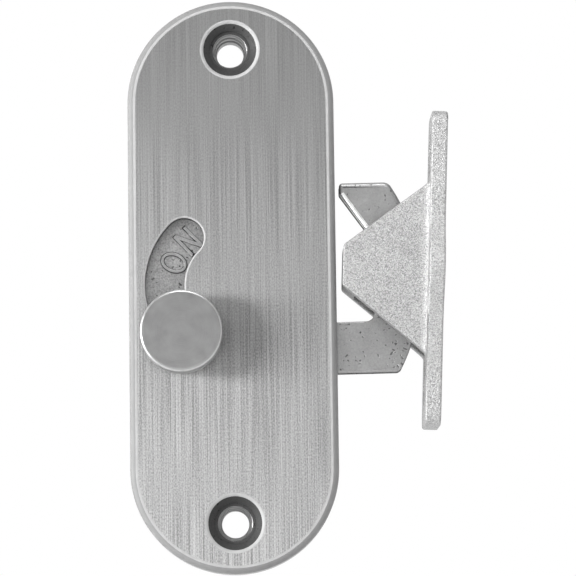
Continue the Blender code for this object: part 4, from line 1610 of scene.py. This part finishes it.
class LOCK_OT_knob(Operator):
    """Model the knob and the screw that holds it from behind"""

    bl_idname = "lock.knob"
    bl_label = "Knob"

    def execute(self, context):
        scene = context.scene
        sizes = scene.lock_turned
        turns = scene.lock_stage.turn_steps
        foot, front = heights("knob")
        at = on_circle(0, 0, sizes.knob_reach, sizes.knob_angle)
        outer = sizes.knob_width / 2
        neck = sizes.neck_width / 2
        back = front - sizes.knob_thickness
        cut = sizes.knob_chamfer
        soft = sizes.small_bevel
        screw_low, screw_top = heights("knob_screw")
        hole = sizes.knob_screw / 2 + sizes.screw_gap
        cut_steps = 5
        profile = [(0, front), (outer - cut - sizes.front_inset, front)]
        profile += rounding(outer, front, cut, 1, -1, cut_steps)
        profile += [
            (outer, back + cut / 2), (outer - cut / 2, back), (neck + cut / 2, back),
            (neck, back - cut / 2), (neck, foot + soft), (neck - soft, foot), (hole, foot),
            (hole, screw_top + sizes.screw_gap), (0, screw_top + sizes.screw_gap),
        ]
        shape = turned_shape(profile, at.x, at.y, 2 * turns)
        # A band of the front chamfer takes the painted highlight ring.
        low_share, high_share = 0.6, 0.06
        ring_low = front - low_share * cut
        ring_high = front - high_share * cut
        for face in shape.faces:
            middle = face.calc_center_median()
            far = (middle - Vector((at.x, middle.y, at.y))).length
            if far > outer - cut and ring_low < -middle.y < ring_high:
                face.material_index = 1
        finishes = [turned_finish(scene, at.x, at.y), finish_of(scene, "bright_ring")]
        finish_piece(shape, "turned_knob", finishes, "hook", ["knob"])
        shank = sizes.knob_screw / 2
        head = sizes.knob_screw_head / 2
        sink = screw_low + sizes.knob_screw_sink
        screw = [
            (0, screw_top), (shank - soft, screw_top), (shank, screw_top - soft), (shank, sink),
            (head, screw_low + 2 * soft), (head, screw_low + soft), (head - soft, screw_low),
            (0, screw_low),
        ]
        shape = turned_shape(screw, at.x, at.y, turns // 2)
        half_width, depth = head * 0.2, head * 0.4
        cross = cross_recess(at.x, at.y, screw_low, head * CROSS_REACH, half_width, depth)
        piece = finish_piece(
            shape, "cross_knob_screw", [turned_finish(scene, at.x, at.y)], "hook",
            ["knob_screw"],
        )
        cut_with(piece, cross)
        return {"FINISHED"}


class LOCK_OT_keeper(Operator):
    """Model the keeper, one casting with a base plate and a loop"""

    bl_idname = "lock.keeper"
    bl_label = "Keeper"

    def execute(self, context):
        scene = context.scene
        sizes = scene.lock_keeper
        turns = scene.lock_stage.turn_steps
        shape = new_shape()
        corner_steps, arc_step, edge_steps = 8, 0.0006, 4
        outline = draw_outline(shape, base_moves(sizes), 0, corner_steps, arc_step)
        cap = list(outline)
        verts, rear, rim = carry_on(shape, outline)
        bmesh.ops.translate(shape, vec=(0, sizes.base_thickness, 0), verts=verts)
        # The base plate's edge takes the painted light copy of the keeper's finish.
        for face in rim:
            face.material_index = 1
        back_cap = list(rear)
        bore = sizes.hole_width / 2
        wide = sizes.countersink / 2
        holes = []
        profile = [(bore, bore - wide), (bore, -sizes.base_thickness)]
        for side in (1, -1):
            z = side * sizes.hole_spacing / 2
            hole = draw_circle(shape, 0, z, wide, 0, turns)
            cap += hole
            edges, _ = sweep(shape, hole, circle_spine(0, z), profile)
            back_cap += edges
            holes += hole + edges
        roots = [self.wall_root(shape, sizes, side) for side in (1, -1)]
        for root in roots:
            cap += root
        fill(shape, cap)
        fill(shape, back_cap)
        loop_edges = self.raise_loop(shape, sizes, roots)
        widest = sizes.base_edge
        weigh(shape, outline + rear, sizes.base_edge, widest)
        weigh(shape, holes, sizes.base_edge / 3, widest)
        weigh(shape, loop_edges, sizes.loop_edge, widest)
        middle = sum(heights("hook")) / 2
        place = (
            Matrix.Translation((sizes.face_at, -middle, sizes.rise))
            @ Matrix.Rotation(radians(sizes.lean), 4, "Y") @ Matrix.Rotation(-pi / 2, 4, "Z")
        )
        bmesh.ops.transform(shape, matrix=place, verts=shape.verts)
        finishes = [finish_of(scene, "grit_blasted"), finish_of(scene, "grit_blasted_edge")]
        piece = finish_piece(shape, "blasted_casting", finishes, "keeper", ["keeper"])
        bevel_by_weight(piece, widest, edge_steps)
        return {"FINISHED"}

    def wall_root(self, shape, sizes, side):
        """The rectangle that one wall's flared root covers on the base."""
        inner, outer, half = wall_limits(sizes, 0)
        corners = [(inner, -half), (outer, -half), (outer, half), (inner, half)]
        moves = [Corner(side * x, z, 0) for x, z in corners]
        return draw_outline(shape, moves, 0, 1, 1)

    def raise_loop(self, shape, sizes, roots):
        """Raise both walls out of their roots and join them by the bar; returns the crisp edges."""
        crisp = []
        bar_from = sizes.loop_reach - sizes.bar
        levels = [sizes.flare_height * step / ROOT_STEPS for step in range(1, ROOT_STEPS + 1)]
        levels.append(bar_from)
        tops = []
        for side, root in zip((1, -1), roots):
            edges = root
            for level in levels:
                edges, sides = lift(shape, edges, sizes, level)
                crisp += sides
            tops.append(edges)
        inner, _, _ = wall_limits(sizes, bar_from)
        gates = [
            edge for edges in tops for edge in edges
            if all(abs(abs(vert.co.x) - inner) < SAME_POINT for vert in edge.verts)
        ]
        bmesh.ops.bridge_loops(shape, edges=gates)
        rim = [edge for edge in shape.edges if edge.is_boundary]
        crisp += gates + [
            edge for edge in rim
            if all(abs(vert.co.x) <= inner + SAME_POINT for vert in edge.verts)
        ]
        edges, sides = lift(shape, rim, sizes, sizes.loop_reach)
        crisp += edges
        crisp += [edge for edge in sides if abs(abs(edge.verts[0].co.x) - inner) > BESIDE]
        fill(shape, edges)
        return crisp


# Steps in a wall's flared root and in the swelling of the base, how much further a root spreads
# along a wall than across it, and how far a wall's own upright edges may stand from its gate
ROOT_STEPS = 5
SWELL_STEPS = 48
ALONG = 0.3
BESIDE = 1e-4


def base_moves(sizes):
    """Outline of the base plate, anticlockwise, with a middle that swells by a cosine wave."""
    half_length = sizes.base_length / 2
    half_end = sizes.end_width / 2
    swell = (sizes.middle_width - sizes.end_width) / 2
    side = [Corner(half_end, -half_length, sizes.corner_round)]
    for step in range(SWELL_STEPS + 1):
        along = sizes.bulge_length * (step / SWELL_STEPS - 1 / 2)
        wave = (1 + cos(2 * pi * along / sizes.bulge_length)) / 2
        side.append(Corner(half_end + swell * wave, along, 0))
    side.append(Corner(half_end, half_length, sizes.corner_round))
    other = [Corner(-corner.x, corner.z, corner.radius) for corner in reversed(side)]
    return side + other


def wall_limits(sizes, height):
    """Inner and outer face of a wall, and half its length, at a height above the base."""
    slope = (sizes.root_height - sizes.tip_height) / 2 / sizes.loop_reach
    run = max(0.0, 1 - height / sizes.flare_height)
    spread = sizes.flare_width * (1 - sqrt(max(0.0, 1 - run ** 2)))
    inner = sizes.passage / 2 - spread
    outer = sizes.passage / 2 + sizes.wall + spread
    return inner, outer, sizes.root_height / 2 - slope * height + ALONG * spread


def lift(shape, edges, sizes, height):
    """Carry a wall's outline up to a height; returns its new edges and the upright ones."""
    centre_line = sizes.passage / 2 + sizes.wall / 2
    verts, ring, _ = carry_on(shape, edges)
    inner, outer, half = wall_limits(sizes, height)
    for vert in verts:
        side = 1 if vert.co.x > 0 else -1
        vert.co.x = side * (outer if abs(vert.co.x) > centre_line else inner)
        vert.co.z = half if vert.co.z > 0 else -half
        vert.co.y = -height
    uprights = [edge for vert in verts for edge in vert.link_edges if edge not in ring]
    return ring, uprights


LAMPS = (
    Lamp("key_lamp", (-0.58, -0.27, 0.02), 0.50, 0.12, 5.6),
    Lamp("low_lamp", (0.00, -0.95, -0.14), 0.16, 0.16, 0.48),
    Lamp("top_lamp", (0.00, -0.50, 0.60), 0.40, 0.40, 3.5),
)


class LOCK_OT_stage(Operator):
    """Set up the camera, the floor, the lights and the white background"""

    bl_idname = "lock.stage"
    bl_label = "Stage"

    def execute(self, context):
        scene = context.scene
        settings = scene.lock_stage
        scene.view_settings.view_transform = "Standard"
        self.camera(scene, settings)
        self.floor(scene, settings)
        self.world(scene, settings)
        self.lamps(scene)
        return {"FINISHED"}

    def camera(self, scene, settings):
        """A long lens that looks slightly up at the lock."""
        data = bpy.data.cameras.new("camera")
        data.lens = settings.lens
        data.sensor_width = settings.sensor
        data.clip_start = 0.01
        camera = bpy.data.objects.new("camera", data)
        scene.collection.objects.link(camera)
        eye = Vector(settings.eye)
        look = (Vector(settings.aim) - eye).to_track_quat("-Z", "Y")
        camera.rotation_mode = "QUATERNION"
        camera.rotation_quaternion = look @ Quaternion((0, 0, 1), radians(-settings.roll))
        camera.location = eye
        scene.camera = camera

    def floor(self, scene, settings):
        """A pale floor that fades into the white background."""
        shape = new_shape()
        bmesh.ops.create_grid(shape, x_segments=1, y_segments=1, size=settings.floor_size)
        bmesh.ops.translate(shape, vec=(0, 0, settings.floor_height), verts=shape.verts)
        mesh = bpy.data.meshes.new("floor")
        shape.to_mesh(mesh)
        shape.free()
        floor = bpy.data.objects.new("floor", mesh)
        scene.collection.objects.link(floor)
        pale = bpy.data.materials.new("pale_floor")
        pale.use_nodes = True
        tree = pale.node_tree
        shader = tree.nodes["Principled BSDF"]
        shader.inputs["Base Color"].default_value = (*settings.floor_colour, 1)
        shader.inputs["Roughness"].default_value = settings.floor_rough
        white = tree.nodes.new("ShaderNodeEmission")
        white.inputs["Color"].default_value = (1, 1, 1, 1)
        mix = tree.nodes.new("ShaderNodeMixShader")
        far = length_of(tree, place_pattern(tree, (1, 1, 0)))
        whiter = ranged(tree, far, settings.fade_from, settings.fade_to, 0, 1)
        tree.links.new(whiter, mix.inputs["Fac"])
        tree.links.new(shader.outputs["BSDF"], mix.inputs[1])
        tree.links.new(white.outputs["Emission"], mix.inputs[2])
        tree.links.new(mix.outputs["Shader"], tree.nodes["Material Output"].inputs["Surface"])
        mesh.materials.append(pale)

    def world(self, scene, settings):
        """A white background, and a light that is softer in front than behind, as on a white sheet."""
        behind_from, behind_full = -0.3, 0.35
        right_from, right_full = 0.35, 0.9
        soft = settings.front_light
        world = bpy.data.worlds.new("studio")
        scene.world = world
        world.use_nodes = True
        tree = world.node_tree
        white = tree.nodes["Background"]
        white.inputs["Color"].default_value = (1, 1, 1, 1)
        towards = tree.nodes.new("ShaderNodeTexCoord")
        way = split_up(tree, towards.outputs["Generated"])
        behind = ranged(tree, way["Y"], behind_from, behind_full, soft, 1)
        right = ranged(tree, way["X"], right_from, right_full, soft, 1)
        path = tree.nodes.new("ShaderNodeLightPath").outputs
        seen = larger(tree, path["Is Camera Ray"], path["Is Transmission Ray"])
        strength = larger(tree, seen, larger(tree, behind, right))
        tree.links.new(strength, white.inputs["Strength"])

    def lamps(self, scene):
        """Soft lamps: a lying strip as key at the left, a low one in front, a weak one above."""
        for lamp in LAMPS:
            data = bpy.data.lights.new(lamp.name, "AREA")
            data.shape = "RECTANGLE"
            data.size = lamp.wide
            data.size_y = lamp.tall
            data.energy = lamp.watts
            item = bpy.data.objects.new(lamp.name, data)
            item.location = lamp.place
            item.rotation_mode = "QUATERNION"
            item.rotation_quaternion = (-Vector(lamp.place)).to_track_quat("-Z", "Y")
            scene.collection.objects.link(item)


STEPS = (
    LOCK_OT_face_plate, LOCK_OT_housing, LOCK_OT_back_plate, LOCK_OT_screws, LOCK_OT_hook,
    LOCK_OT_pivot, LOCK_OT_knob, LOCK_OT_keeper, LOCK_OT_stage,
)


class LOCK_PT_panel(Panel):
    """Lists the lock's pieces in the order that they are made, and the stage"""

    bl_label = "Door Lock"
    bl_idname = "LOCK_PT_panel"
    bl_space_type = "VIEW_3D"
    bl_region_type = "UI"
    bl_category = "Door Lock"

    def draw(self, context):
        for step in STEPS:
            self.layout.operator(step.bl_idname)


GROUPS = (
    ("lock_case", CaseSizes), ("lock_hook", HookSizes), ("lock_turned", TurnedSizes),
    ("lock_keeper", KeeperSizes), ("lock_finishes", LockFinishes), ("lock_stage", StageSettings),
)


def register():
    for name, group in GROUPS:
        bpy.utils.register_class(group)
        setattr(bpy.types.Scene, name, PointerProperty(type=group))
    for step in STEPS:
        bpy.utils.register_class(step)
    bpy.utils.register_class(LOCK_PT_panel)


def unregister():
    bpy.utils.unregister_class(LOCK_PT_panel)
    for step in reversed(STEPS):
        bpy.utils.unregister_class(step)
    for name, group in reversed(GROUPS):
        delattr(bpy.types.Scene, name)
        bpy.utils.unregister_class(group)


def main():
    register()
    bpy.ops.lock.stage()
    bpy.ops.lock.face_plate()
    bpy.ops.lock.housing()
    bpy.ops.lock.back_plate()
    bpy.ops.lock.screws()
    bpy.ops.lock.hook()
    bpy.ops.lock.pivot()
    bpy.ops.lock.knob()
    bpy.ops.lock.keeper()


if __name__ == "__main__":
    main()
